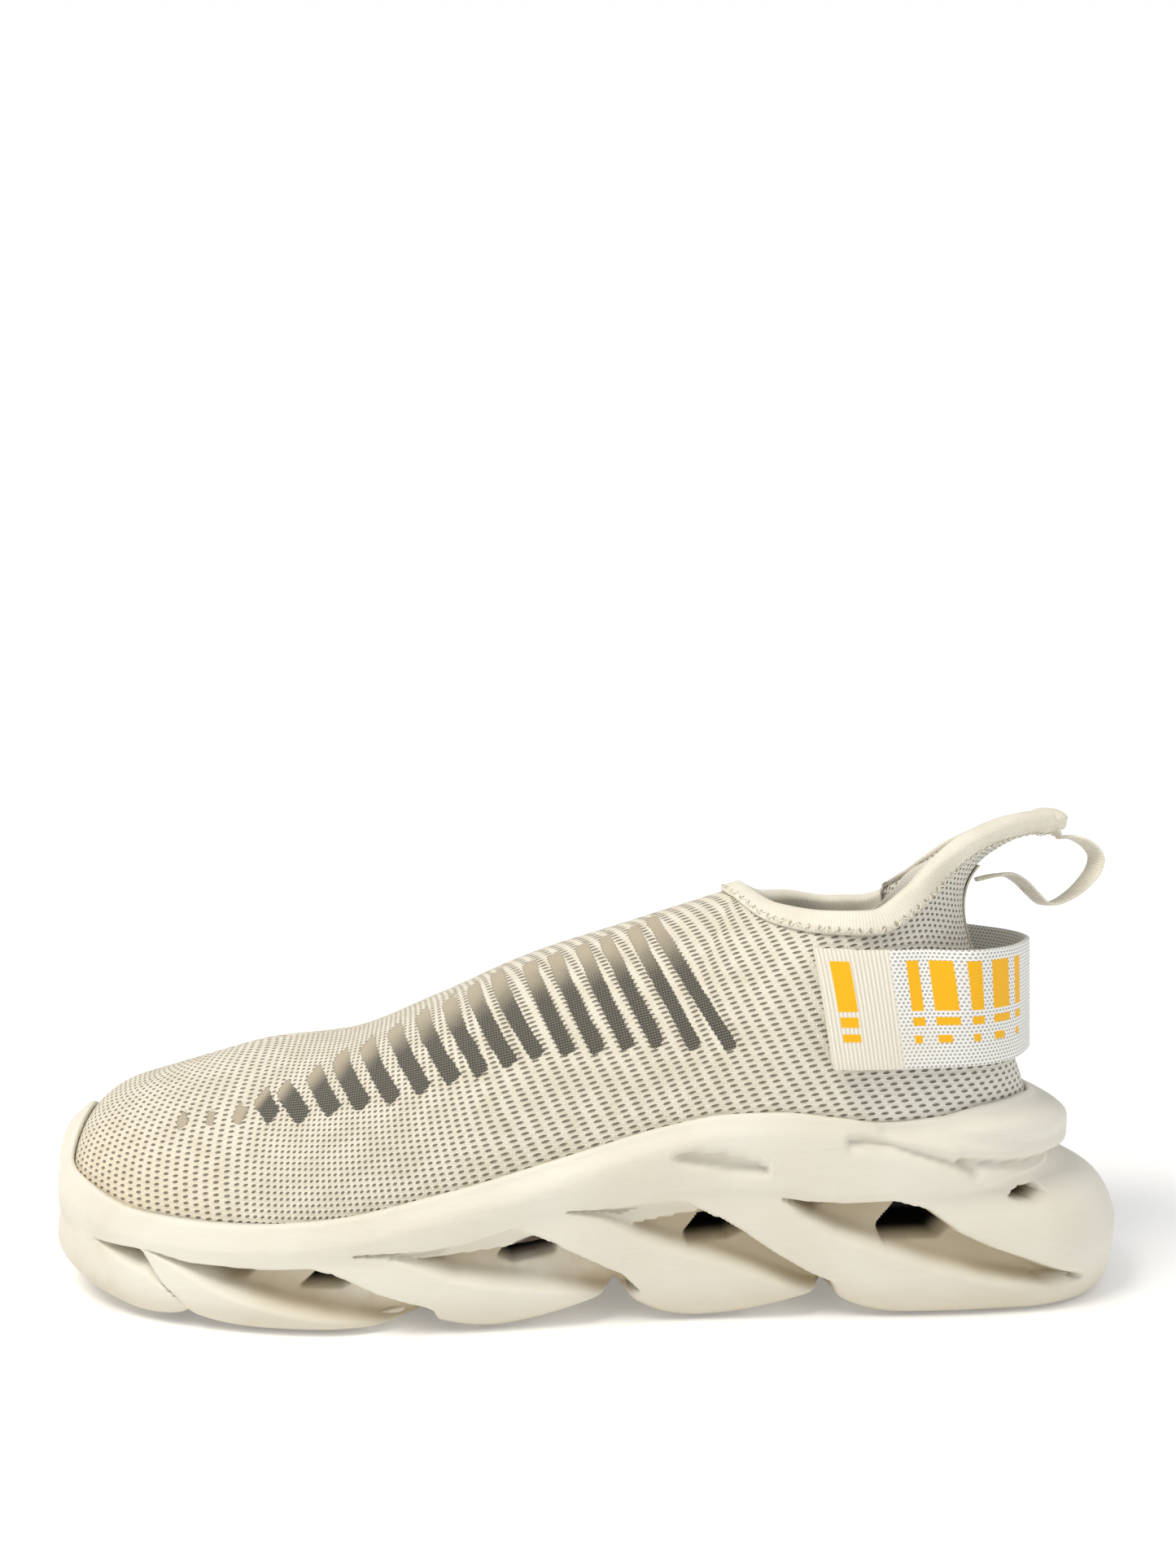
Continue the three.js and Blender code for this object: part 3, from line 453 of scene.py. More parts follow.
def lobe_lift(x):
    """How far the underside of each lobe rises: gently at its back end, steeply in front of the next."""
    lift = 0 * x
    for place, height, tail in NOTCHES:
        behind = np.clip((x - place + tail) / tail, 0, 1) * (x < place)
        ahead = np.clip((place + 22 - x) / 22, 0, 1) * (x >= place)
        crease = 0.6 * np.exp(-(((x - place) / 1.6) ** 2))
        lift = lift + height * (behind**1.8 + ahead**2.4) + crease
    return lift


def off_foot(distance, height):
    out = foam_foot + foam_out * np.asarray(distance)[..., None]
    out[:, 2] = height
    return out


def on_rim(drop, distance):
    share = wall_share(foam_s, level(RIM, foam_s) - drop)
    return wall(foam_s, share) + wall_normal(foam_s, share) * distance


flare, valley, lip = (level(column, foam_s) for column in (FLARE, VALLEY, LIP))
rim_height, keel_height = level(RIM, foam_s), level(KEEL, foam_s)
tread_level = run_along(UNDERSIDE, foam_foot[:, 0]) + lobe_lift(foam_foot[:, 0])


def climb(share):
    """A height between the skirt of a lobe and the keel of the rim."""
    return tread_level + SKIRT + (keel_height - tread_level - SKIRT) * share


side_knots = np.stack([
    off_foot(flare - 5.6, tread_level + PAD + CLEARANCE),
    off_foot(flare - 5.4, climb(0.04)),
    off_foot(flare - 4.6, climb(0)),
    off_foot(flare - 1.9, climb(0.1)),
    off_foot(flare - 0.4, climb(0.28)),
    off_foot(flare, climb(0.5)),
    off_foot(flare * 0.75 + valley * 0.25, climb(0.75)),
    off_foot(valley, climb(1)),
    off_foot(lip, keel_height + 3),
    off_foot(lip, rim_height - 5),
    on_rim(1.6, RIM_WALL),
    on_rim(0.2, RIM_WALL * 0.75),
    on_rim(-0.3, RIM_WALL * 0.35),
    on_rim(0.2, CLEARANCE),
])
ROWS_BETWEEN = [1, 1, 4, 7, 10, 11, 11, 8, 9, 4, 3, 2, 1]
side_rows = [side_knots[0]]
for k, count in enumerate(ROWS_BETWEEN):
    ends = [side_knots[i] for i in (max(k - 1, 0), k, k + 1, min(k + 2, len(side_knots) - 1))]
    reach = np.linalg.norm(ends[2] - ends[1], axis=1, keepdims=True)
    slopes = []
    for a, b, c in ((ends[0], ends[1], ends[2]), (ends[1], ends[2], ends[3])):
        tangent = c - a
        slopes.append(tangent / (np.linalg.norm(tangent, axis=1, keepdims=True) + 1e-9) * reach)
    side_rows += [hermite(ends[1], ends[2], slopes[0], slopes[1], i / count) for i in range(1, count + 1)]
side = np.stack(side_rows)

# Outlines seen from the side, x and height: depth, softness of the upper edge, softness of the lower edge.
CELLS = [
    (3.2, 1.2, 4, [
        [-128, 18.2], [-113, 18.4], [-106.5, 11], [-99.5, 6], [-104, 8.5], [-113, 12.6], [-122, 15.3],
    ]),
    (6.2, 0.7, 4, [
        [-111, 18.4], [-105, 16], [-99, 13.4], [-92, 10.2], [-84, 7.8], [-75, 5.6], [-65, 3.6], [-50, 1.4],
        [-36, 0.5], [-37, 6], [-43, 8.2], [-51, 10.8], [-59, 14.5], [-67, 16.8], [-81, 16.2], [-99, 16.5],
    ]),
    (6.2, 0.7, 4, [
        [-58, 20.2], [-47, 19.4], [-41, 16.8], [-33, 13.6], [-21, 11.4], [-7, 9], [4, 6.4], [12, 4],
        [14, 8.6], [10, 12.7], [3, 16.3], [-7, 21.2], [-17, 25.9], [-22, 24.6], [-30, 22.4], [-38, 21],
    ]),
    (6.2, 0.7, 4, [
        [-4, 29.4], [5, 26.7], [14, 21.6], [22, 18.4], [33, 15.2], [43, 11.6], [54, 7], [66, 3.5], [64, 9],
        [58, 11.9], [49, 17.2], [42, 21.9], [35, 25.8], [26, 30.6], [19, 30.8], [8, 29.5],
    ]),
    (6.4, 0.7, 4.5, [
        [50, 31.2], [56, 25.7], [64, 21.2], [76.5, 17], [89, 12.5], [104, 8.5], [122, 5.5], [131, 8],
        [122, 11.6], [117, 13.7], [106, 17.5], [96, 22.1], [89, 27.4], [80, 29.9], [67, 29.6], [58, 30],
    ]),
]
HOLLOWS = [
    (5, 1.2, 3, [[-126, 17.6], [-112.5, 17.9], [-109, 13.6], [-115, 13.4], [-122, 15.8]]),
    (4.5, 1, 2.5, [[-98, 15.9], [-82, 16], [-86, 12.2], [-90, 11.6], [-95.5, 13.4]]),
    (15, 1, 2, [[-71.5, 10.6], [-66, 15.5], [-62, 15.8], [-58, 11.9], [-61, 10.4]]),
    (4, 1, 3, [[-48, 19.3], [-31, 22.2], [-35, 17.5], [-41, 17.4]]),
    (15, 1, 2, [[-20.5, 17.4], [-17, 21.9], [-12, 23.7], [-5.6, 20.8], [-6.6, 17.6], [-17, 15.8]]),
    (5, 1, 3, [[-3, 29.1], [14, 29.6], [17, 29.8], [10, 25.6], [4.6, 27.2]]),
    (16, 1, 2, [[26.4, 20.6], [30.5, 25.5], [34.7, 26.3], [42, 21.9], [37, 19.6], [27.4, 19]]),
    (4.5, 1, 2.5, [[54.4, 29.6], [61, 30], [64, 28.4], [58, 26.8]]),
    (16, 1, 2, [[76.6, 22.2], [82, 27.6], [86.4, 28.1], [96.4, 22.1], [93, 19.2], [77.5, 18.8]]),
    (9, 0.9, 1.6, [[110.6, 29.6], [114.5, 31.3], [119.6, 31.2], [122, 29.2], [119, 27.6], [114, 28.2]]),
    (2.8, 0.9, 2, [
        [21.6, 41.7], [26, 43.8], [35, 43.6], [43, 41.6], [48, 39.2], [47, 37.2], [37, 37.6], [26, 40.1],
    ]),
]
GROOVES = [
    (2.6, 1.2, [[68.5, 45.2], [72, 45.4], [79, 44.3], [89.5, 41.3], [99, 38.2], [101.2, 36.4]]),
    (1.1, 1.8, [[78, 48.2], [88, 47.4], [98, 45.9], [109, 43.6], [122, 42.6], [133, 43.2]]),
    (3.2, 1.3, [[98, 40], [108, 38.6], [116, 38], [124, 37.8], [134, 37.6]]),
]


def inside_outline(x, z, outline):
    """Distance inside an outline, positive within it, and how much the nearest edge faces up."""
    points = np.asarray(outline, float)
    nearest = np.full(x.shape, 1e9)
    facing = np.zeros(x.shape)
    within = np.zeros(x.shape, bool)
    for a, b in zip(points, np.roll(points, -1, axis=0)):
        edge = b - a
        share = np.clip(((x - a[0]) * edge[0] + (z - a[1]) * edge[1]) / (edge @ edge), 0, 1)
        gap_x, gap_z = x - a[0] - share * edge[0], z - a[1] - share * edge[1]
        gap = np.hypot(gap_x, gap_z)
        closer = gap < nearest
        facing = np.where(closer, gap_z / (gap + 1e-6), facing)
        nearest = np.where(closer, gap, nearest)
        crosses = (a[1] > z) != (b[1] > z)
        within ^= crosses & (x < a[0] + (z - a[1]) * edge[0] / (edge[1] + 1e-12))
    return np.where(within, nearest, -nearest), np.where(within, facing, -facing)


def softly(value):
    value = np.clip(value, 0, 1)
    return value * value * (3 - 2 * value)


def carve(x, z):
    """Depth of the relief under the outer surface, and how far into a hollow a point lies."""
    depth = np.zeros(x.shape)
    hollow = np.zeros(x.shape)
    for group, deep in ((CELLS, False), (HOLLOWS, True)):
        for reach, upper, lower, outline in group:
            inside, facing = inside_outline(x, z, outline)
            soft = upper + (lower - upper) * softly(0.5 + facing)
            share = softly((inside + 0.3) / soft)
            depth += reach * share
            if deep:
                hollow = np.maximum(hollow, share * min(reach / 9, 1))
    for reach, width, line in GROOVES:
        line = np.asarray(line, float)
        gap = np.full(x.shape, 1e9)
        for a, b in zip(line[:-1], line[1:]):
            edge = b - a
            share = np.clip(((x - a[0]) * edge[0] + (z - a[1]) * edge[1]) / (edge @ edge), 0, 1)
            gap = np.minimum(gap, np.hypot(x - a[0] - share * edge[0], z - a[1] - share * edge[1]))
        depth += reach * np.exp(-((gap / width) ** 2))
    return depth, hollow


depth, hollow = carve(side[..., 0], side[..., 2])
beside = np.sum((side - foam_foot[None]) * foam_out[None], axis=2)
row_s = np.broadcast_to(foam_s, depth.shape)
level_share = wall_share(row_s, side[..., 2])
cup_wall = wall(row_s, level_share) + wall_normal(row_s, level_share) * (CLEARANCE + 0.9)
cup_wall = np.sum((cup_wall - foam_foot[None]) * foam_out[None], axis=2)
under_cup = softly((side[..., 2] - run_along(FOOTBED, side[..., 0]) + 2.2) / 1.2)
most = (beside - cup_wall) * under_cup + 40 * (1 - under_cup)
depth = np.minimum(depth, np.maximum(most, 0))
side = side - foam_out[None] * depth[..., None]
loops = []
for share in (0, 0.3, 0.6, 0.85):
    ring = side[0].copy()
    ring[:, 1] = level(AXIS, foam_s) + (ring[:, 1] - level(AXIS, foam_s)) * share
    loops.append(ring)
inner_foot = foam_foot + foam_out * CLEARANCE
inner_foot[:, 2] = run_along(FOOTBED, inner_foot[:, 0])
cup = [wall(foam_s, t) + wall_normal(foam_s, t) * CLEARANCE for t in (0.12, 0.05)] + [inner_foot]
for share in (0.6, 0):
    ring = inner_foot.copy()
    ring[:, 1] = level(AXIS, foam_s) + (ring[:, 1] - level(AXIS, foam_s)) * share
    cup.append(ring)
foam_grid = np.concatenate([np.stack(loops), side, np.stack(cup)])
plain = np.zeros((1, FOAM_COLUMNS + 1))
hollow_grid = np.concatenate([plain] * len(loops) + [hollow] + [plain] * len(cup))
depth_grid = np.concatenate([plain] * len(loops) + [depth] + [plain] * len(cup))
midsole = from_grid("midsole_foam", foam_grid, marks=[("hollow", hollow_grid), ("depth", depth_grid)])
face_out(midsole)
apply_modifier(midsole, "SMOOTH", factor=0.5, iterations=1)

moulded_foam, shader, place = cloth_material("moulded_foam", 0.55)
shader.inputs["Specular IOR Level"].default_value = 0.4
shader.inputs["Subsurface Weight"].default_value = 0.12
shader.inputs["Subsurface Radius"].default_value = (0.004, 0.003, 0.002)
in_hollow = place.node("ShaderNodeAttribute", attribute_name="hollow", out=2)
in_depth = place.node("ShaderNodeAttribute", attribute_name="depth", out=2)
x, _, z = split(place)
cloud = mottle(place, 26.0, 5.0)
speck = mottle(place, 420.0, 3.0, 0.7)
toe_scuff = (-1 * x).step(0.085, 0.15) * (0.045 - z).step(0, 0.03)
# Tan towards the bottom of the foam.
low_tan = (0.014 - z).step(0, 0.012) * 0.45
# Tan in the recesses, stronger where the relief is deeper and patchy with the cloud: partly dirt, partly
# painted shade in the recesses. The toe scuff and the tan near the bottom are added to it below.
dirt_and_shade = (in_depth / 6).step(0.1, 1.1) * cloud.step(0.2, 0.6) * 0.8
dirt_and_shade = dirt_and_shade + toe_scuff * cloud.step(0.35, 0.7) * 0.55 + low_tan
foam_tone = cloud.step(0.3, 0.75).blend(rgb(227, 224, 213), rgb(218, 213, 198))
foam_tone = dirt_and_shade.step(0, 1.15).blend(foam_tone, rgb(178, 162, 132))
# Painted shade: dark brown inside the hollows and near black at the bottom of the deepest ones.
foam_tone = in_hollow.step(0.25, 0.95).blend(foam_tone, rgb(70, 56, 40))
foam_tone = (in_depth / 20).step(0.4, 0.75).blend(foam_tone, rgb(22, 17, 13))
foam_tone = (speck.step(0.7, 0.78) * 0.25).blend(foam_tone, rgb(178, 160, 128))
lead(foam_tone, shader, "Base Color")
stretched = place.node("ShaderNodeMapping", {"Vector": place, "Scale": (1, 1, 5)})
creases = mottle(stretched, 120.0, 4.0)
raise_surface(creases * 0.6 + speck * 0.2 + cloud * 0.8, shader, 0.0006, 0.55)
midsole.data.materials.append(moulded_foam)
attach(midsole, "shoe")
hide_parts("midsole")


# ------------------------------------------------------------------ outsole pads
# Five pads of blown rubber glued under the lobes, each with cross grooves for grip and following the
# rise between its lobe and the next. They are a shade darker than the foam and dusty from the ground.
PADS = {
    "outsole_toe": (-143.5, -104.5), "outsole_ball": (-95, -42), "outsole_forefoot": (-36, 6),
    "outsole_arch": (12, 60), "outsole_heel": (66, 137),
}
GROOVE_PITCH = 8
GROOVE_DEPTH = 1.1
blown_rubber, shader, place = cloth_material("blown_rubber", 0.75)
dust = mottle(place, 90.0, 6.0, 0.65)
grain = mottle(place, 1400.0, 2.0)
lead(dust.step(0.35, 0.7).blend(rgb(232, 226, 210), rgb(208, 197, 174)), shader, "Base Color")
raise_surface(grain + dust * 2, shader, 0.0002, 0.6)
sole_edge = foam_foot + foam_out * (flare - 6.2)[:, None]
lateral, medial = foam_s <= TOE, foam_s >= TOE


def close_ends(grid):
    """Draws the first and last row of a tube together to a point."""
    tips = [np.repeat(grid[k].mean(axis=0)[None, None], grid.shape[1], 1) for k in (0, -1)]
    return np.concatenate([tips[0], grid, tips[1]])


def edge_at(x, half):
    order = np.argsort(sole_edge[half, 0])
    return np.interp(x, sole_edge[half, 0][order], sole_edge[half, 1][order])


for name, (back, front) in PADS.items():
    x = np.linspace(back, front, int((front - back) / 0.5))
    rounding = np.sqrt(np.clip(1 - np.abs((x - (back + front) / 2) / (front - back) * 2) ** 8, 0, 1))
    left, right = edge_at(x, lateral), edge_at(x, medial)
    middle, half = (left + right) / 2, (right - left) / 2 * (0.8 + 0.2 * rounding)
    tread = run_along(UNDERSIDE, x) + lobe_lift(x)
    in_groove = np.abs(np.mod(x - back, GROOVE_PITCH) - GROOVE_PITCH / 2)
    cut = GROOVE_DEPTH * softly((GROOVE_DEPTH - in_groove) / 0.5)
    section = []
    flat = [(k, 0) for k in np.linspace(-0.9, 0.9, 13)]
    for across, up in [(-0.96, 0)] + flat + [(0.96, 0), (1, 0.25), (1, 1)]:
        section.append([x, middle + half * across, tread + (PAD - cut) * up + cut])
    for across in (0.5, 0, -0.5, -1):
        section.append([x, middle + half * across, tread + PAD])
    section.append([x, middle - half, tread + (PAD - cut) * 0.25 + cut])
    section.append(section[0])
    rows = np.moveaxis(np.array(section), 2, 0)
    pad = from_grid(name + "_tread", close_ends(rows))
    face_out(pad)
    pad.data.materials.append(blown_rubber)
    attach(pad, "shoe")
    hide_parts(name)


# ------------------------------------------------------------------ knit upper
# One sock-like piece knitted to shape from thick cream yarn, with staggered eyelets. On both sides of
# the instep it leaves slanted windows, where only a thin dark mesh is left between the ribs.
KNIT = 1.8
knit_s = np.linspace(0, ROUND, ROUND * 18 + 1)
knit_t = np.linspace(0, 1, 61)
grid_s, grid_t = np.meshgrid(knit_s, knit_t, indexing="ij")
knit_grid = wall(grid_s, grid_t)
along = np.interp(knit_s, around, mileage)
climbed = np.concatenate([
    np.zeros((len(knit_s), 1)), np.cumsum(np.linalg.norm(np.diff(knit_grid, axis=1), axis=2), axis=1)
], axis=1)
knit_mm = np.stack([np.broadcast_to(along[:, None], climbed.shape), climbed], -1)

# Windows, counted from the toe: each is a straight slanted band. The feet are by number, x and height,
# the heads by their place on the wall.
WINDOW_FEET = np.array([
    [0, -106, 48.2], [4, -72.6, 49.6], [7, -48.8, 54.6], [9, -33.4, 59.4], [12, -11.4, 65.1],
    [16, 20.1, 68], [18, 39, 67.6],
])
WINDOW_HEADS = np.array([
    [14.17, 0.45], [13.82, 0.48], [13.54, 0.51], [13.37, 0.58], [13.2, 0.62], [12.96, 0.68], [12.78, 0.75],
    [12.52, 0.78], [12.28, 0.82], [12.03, 0.85], [11.77, 0.87], [11.55, 0.91], [11.32, 0.92], [10.98, 0.9],
    [10.72, 0.89], [10.45, 0.89], [10.22, 0.89], [9.96, 0.9], [9.81, 0.96],
])
knit_x, knit_z = knit_grid[..., 0], knit_grid[..., 2]
window_room = np.full(knit_x.shape, -9.0)
window_share = np.zeros(knit_x.shape)
for number, (head_s, head_t) in enumerate(WINDOW_HEADS):
    foot = np.array([np.interp(number, WINDOW_FEET[:, 0], WINDOW_FEET[:, k]) for k in (1, 2)])
    way = wall(head_s, head_t)[[0, 2]] - foot
    tall = np.hypot(*way)
    way /= tall
    climb_mm = (knit_x - foot[0]) * way[0] + (knit_z - foot[1]) * way[1]
    aside = np.abs((knit_x - foot[0]) * way[1] - (knit_z - foot[1]) * way[0])
    half_width = 1.5 + 0.75 * min(number / 3, 1) - 0.3 * max(number - 12, 0) / 6
    inside = np.minimum(half_width - aside, np.minimum(climb_mm, tall - climb_mm))
    here = inside > window_room
    window_room = np.where(here, inside, window_room)
    window_share = np.where(here, climb_mm / tall + (0.7 if number < 3 else 0), window_share)
windows = [("window_room", window_room), ("window_share", window_share)]
upper = from_grid("knit_shell", knit_grid, uvs=[("stitch", knit_mm)], marks=windows)
apply_modifier(upper, "SOLIDIFY", thickness=KNIT * MM, offset=-1)

knitted, shader, place = cloth_material("cream_knit", 0.9)
shader.inputs["Sheen Weight"].default_value = 0.25
shader.inputs["Sheen Roughness"].default_value = 0.5
x, _, z = split(place)
u, v, _ = split(place.node("ShaderNodeUVMap", uv_map="stitch"))
wobble = mottle(place, 160.0, 2.0)
fibre = mottle(place, 2600.0, 3.0, 0.7)
room_mm = place.node("ShaderNodeAttribute", attribute_name="window_room", out=2)
share = place.node("ShaderNodeAttribute", attribute_name="window_share", out=2)
edge_noise = (wobble - 0.5) * 1.1 + (v / 1.5).wave() * 0.16
window = (room_mm + edge_noise).step(0, 0.35)
slant = u * 1.0 + v * 0.55
row = (v / 1.5).sum("FLOOR")
forefoot = (-1 * x).step(0.02, 0.09)
pitch = 3.8 - 0.8 * forefoot
stitch_u = slant / pitch + row * 0.5 + (wobble - 0.5) * 0.16
fraction_u = stitch_u.off_middle()
fraction_v = (v / 1.5).off_middle()
eyelet = fraction_u * fraction_u * (13.0 + 4 * forefoot) + fraction_v * fraction_v * 16.0
eyelet = 1 - eyelet.step(0.3, 1.35)
loops_u = (u / 0.92 + row * 0.5)
loop_shape = (loops_u.wave() * 0.5 + 0.5) * 0.4 + (1 - (fraction_v * fraction_v * 4)) * 0.6
knit_tone = wobble.step(0.3, 0.7).blend(rgb(226, 220, 205), rgb(215, 208, 190))
heel_white = x.step(0.03, 0.1)
knit_tone = (heel_white * 0.7).blend(knit_tone, rgb(228, 228, 221))
toe_tan = (-1 * x).step(0.06, 0.15) * (0.055 - z).step(0, 0.035)
knit_tone = (toe_tan * 0.55).blend(knit_tone, rgb(222, 204, 164))
# Painted shade: darker in the dips between the knitted loops.
knit_tone = ((1 - loop_shape) * 0.16).blend(knit_tone, rgb(196, 187, 166))
# Painted shade: the eyelet holes are painted dark brown.
knit_tone = (eyelet * 0.9).blend(knit_tone, rgb(100, 91, 75))
knit_tone = (fibre.step(0.45, 0.8) * 0.25).blend(knit_tone, rgb(252, 249, 240))
mesh_rows = (v / 0.82 + u * 0.12)
mesh_stitch = u / 0.7 + mesh_rows.sum("FLOOR") * 0.5
mesh_thread = mesh_rows.wave().step(0.2, 0.95) * mesh_stitch.wave().step(-0.6, 0.5)
dark = (mesh_thread * 0.6 + fibre.step(0.5, 0.8) * 0.12).blend(rgb(74, 72, 65), rgb(196, 190, 174))
pale = (mesh_thread * 0.35).blend(rgb(178, 167, 146), rgb(206, 196, 174))
window_tone = (share + (wobble - 0.5) * 0.12).step(0.58, 0.96).blend(dark, pale)
lead(window.blend(knit_tone, window_tone), shader, "Base Color")
body = (1 - window) * (0.7 + loop_shape * 0.25 - eyelet * 1.0 + fibre * 0.12) + window * (mesh_thread * 0.18)
raise_surface(body, shader, 0.0006, 0.9)
upper.data.materials.append(knitted)
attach(upper, "shoe")
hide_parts("knit_upper")

# ------------------------------------------------------------------ stiffeners and linings
# Inside the knit lie a moulded toe puff and heel counter, thin foam beside the ankle bones, a brushed
# lining round the heel and a thin liner under the instep. All are cut flat and glued or sewn in.
WALL_HEIGHT = 70
UNDER_KNIT = 2.15
INSTEP = (9.6, 14)


def wall_layer(name, stations, shares, out, thick):
    """A layer that follows the wall between two stations and two heights on it."""
    columns = int(abs(stations[1] - stations[0]) * 14) + 1
    rows = int((shares[1] - shares[0]) * 60) + 2
    layer_s, layer_t = np.meshgrid(np.linspace(*stations, columns), np.linspace(*shares, rows), indexing="ij")
    points = wall(layer_s, layer_t) + wall_normal(layer_s, layer_t) * out
    flat = np.stack([np.interp(np.mod(layer_s, ROUND), around, mileage), layer_t * WALL_HEIGHT], -1)
    piece = from_grid(name, points, uvs=[("stitch", flat)])
    apply_modifier(piece, "SOLIDIFY", thickness=thick * MM, offset=-1)
    return piece


felt, shader, place = cloth_material("needled_felt", 0.95)
hair = mottle(place, 1500.0, 4.0)
patch = mottle(place, 90.0, 3.0)
felt_tone = (hair * 0.5 + patch * 0.5).step(0.3, 0.7)
lead(felt_tone.blend(rgb(205, 198, 182), rgb(224, 219, 206)), shader, "Base Color")
raise_surface(hair, shader, 0.0003, 0.6)

brushed_lining, shader, place = cloth_material("brushed_lining", 0.95)
u, v, _ = split(place.node("ShaderNodeUVMap", uv_map="stitch"))
hair = mottle(place, 1800.0, 4.0)
cells = (u / 1.1 + (v / 1.1).sum("FLOOR") * 0.5).wave() * (v / 1.1).wave()
# Lighter on the raised cells and darker between them: painted shade, with fibre tone that varies at random.
lining_tone = (hair * 0.5 + cells * 0.25 + 0.25).step(0.2, 0.8)
lead(lining_tone.blend(rgb(206, 200, 188), rgb(238, 235, 226)), shader, "Base Color")
raise_surface(hair * 0.5 + cells * 0.5, shader, 0.0003, 0.5)

LAYERS = [
    ("toe_puff", felt, (15, 19), (0.2, 0.97), UNDER_KNIT, 1.2),
    ("heel_counter", felt, (-4, 4), (0.1, 0.5), UNDER_KNIT, 1.2),
    ("heel_lining", brushed_lining, (-5.5, 5.5), (0.1, 0.8), 3.7, 0.8),
]
for name, cloth, stations, shares, inward, thick in LAYERS:
    piece = wall_layer(name + "_cloth", stations, shares, -inward, thick)
    piece.data.materials.append(cloth)
    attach(piece, "shoe")
    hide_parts(name)
for sign, name in ((1, "ankle_foam_lateral"), (-1, "ankle_foam_medial")):
    piece = wall_layer(name + "_pad", sorted((sign * 4.5, sign * 7.5)), (0.3, 0.7), -UNDER_KNIT, 1.2)
    apply_modifier(piece, "BEVEL", width=0.0005, segments=2)
    piece.data.materials.append(felt)
    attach(piece, "shoe")
    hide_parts(name)
medial_instep = (ROUND - INSTEP[1], ROUND - INSTEP[0])
for name, stations in (("instep_liner_lateral", INSTEP), ("instep_liner_medial", medial_instep)):
    piece = wall_layer(name, stations, (0.3, 0.97), -UNDER_KNIT, 0.8)
    piece.data.materials.append(brushed_lining)
    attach(piece, "shoe")
    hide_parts("instep_liner")


# ------------------------------------------------------------------ board and insole
# A stitched board closes the foot of the upper. On it lies a foam insole with a thin knitted cover,
# which lifts out at the heel.
BOARD_EDGE = 3.15
INSOLE_EDGE = 5.9


def bed_layer(name, inset, low, thick, soft):
    """A layer lying on the footbed, with edges rounded by soft millimetres."""
    rows = []
    under, edge_on, over = [(0, 0), (0.7, 0)], [(1, soft * 0.3), (1, thick - soft)], (0.7, 0.35, 0)
    for share, height in under + edge_on + [(share, thick) for share in over]:
        reach = inset if share == 1 else inset + soft
        ring = foam_foot - foam_out * reach
        ring[:, 2] = run_along(FOOTBED, ring[:, 0]) + low + height
        if share < 0.7:
            axis = level(AXIS, foam_s)
            ring[:, 1] = axis + (ring[:, 1] - axis) * share / 0.7
        rows.append(ring[::2])
    piece = from_grid(name, np.stack(rows))
    face_out(piece)
    return piece


stitched_board = bed_layer("stitched_board", BOARD_EDGE, 0.35, 1.4, 0.4)
stitched_board.data.materials.append(felt)
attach(stitched_board, "shoe")
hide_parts("strobel_board")

open_foam, shader, place = cloth_material("open_cell_foam", 0.95)
cells = place.node("ShaderNodeTexVoronoi", {"Vector": place, "Scale": 1300.0})
# Painted shade: darker in the pores of the foam.
lead(cells.step(0.1, 0.6).blend(rgb(196, 190, 176), rgb(228, 224, 213)), shader, "Base Color")
raise_surface(cells, shader, 0.0003, 0.5)
insole_foam = bed_layer("insole_foam_pad", INSOLE_EDGE, 2.1, 3.6, 0.8)
insole_foam.data.materials.append(open_foam)
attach(insole_foam, "insole")
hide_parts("insole_foam")

insole_knit, shader, place = cloth_material("insole_knit", 0.95)
x, y, z = split(place)
ribs = (x * 700).wave() * (y * 700 + (x * 700).sum("FLOOR") * 0.5).wave()
hair = mottle(place, 1500.0, 3.0)
# Lighter on the raised ribs and darker between them: painted shade, with fibre tone that varies at random.
cover_tone = (ribs * 0.3 + hair * 0.7).step(0.1, 0.8)
lead(cover_tone.blend(rgb(186, 178, 162), rgb(216, 210, 196)), shader, "Base Color")
raise_surface(ribs * 0.5 + hair, shader, 0.0002, 0.6)
insole_cover = bed_layer("insole_cover_knit", INSOLE_EDGE, 6.05, 0.8, 0.25)
insole_cover.data.materials.append(insole_knit)
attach(insole_cover, "insole")
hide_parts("insole_cover")


# ------------------------------------------------------------------ collar binding
# A satin tape with fine cross ribs, folded over the edge of the collar and sewn down with a zigzag.
# At the tip of the heel tab the tape ends in a rounded fold.
BINDING = 1.2
BINDING_WIDTH = 5.4


def nearest_on_wall(target, s):
    """Stations and heights of the places on the wall nearest to the targets."""
    t = np.full(s.shape, 0.95)
    best = np.linalg.norm(wall(s, t) - target, axis=-1)
    reach = np.full(s.shape, 1.0)
    while reach.max() > 0.006:
        moved = np.zeros(s.shape, bool)
        for i, j in ((1, 0), (-1, 0), (0, 1), (0, -1), (1, 1), (-1, -1), (1, -1), (-1, 1)):
            try_s, try_t = s + i * reach * 0.5, np.clip(t + j * reach * 0.08, 0, 1)
            miss = np.linalg.norm(wall(try_s, try_t) - target, axis=-1)
            closer = miss < best
            s, t, best = np.where(closer, try_s, s), np.where(closer, try_t, t), np.where(closer, miss, best)
            moved |= closer
        reach = np.where(moved, reach, reach / 2)
    return s, t


edge_s = np.linspace(-COLLAR_FRONT, COLLAR_FRONT, 361)
edge = wall(edge_s, 1.0)
edge_normal = wall_normal(edge_s, np.ones(edge_s.shape))
tangent = np.empty_like(edge)
tangent[1:-1] = edge[:-2] - edge[2:]
tangent[0] = tangent[-1] = edge[-2] - edge[1]
edge_down = np.cross(tangent, edge_normal)
edge_down /= np.linalg.norm(edge_down, axis=1, keepdims=True)


def under_edge(depth):
    found_s, found_t = nearest_on_wall(edge + edge_down * depth, edge_s)
    return wall(found_s, found_t), wall_normal(found_s, found_t)


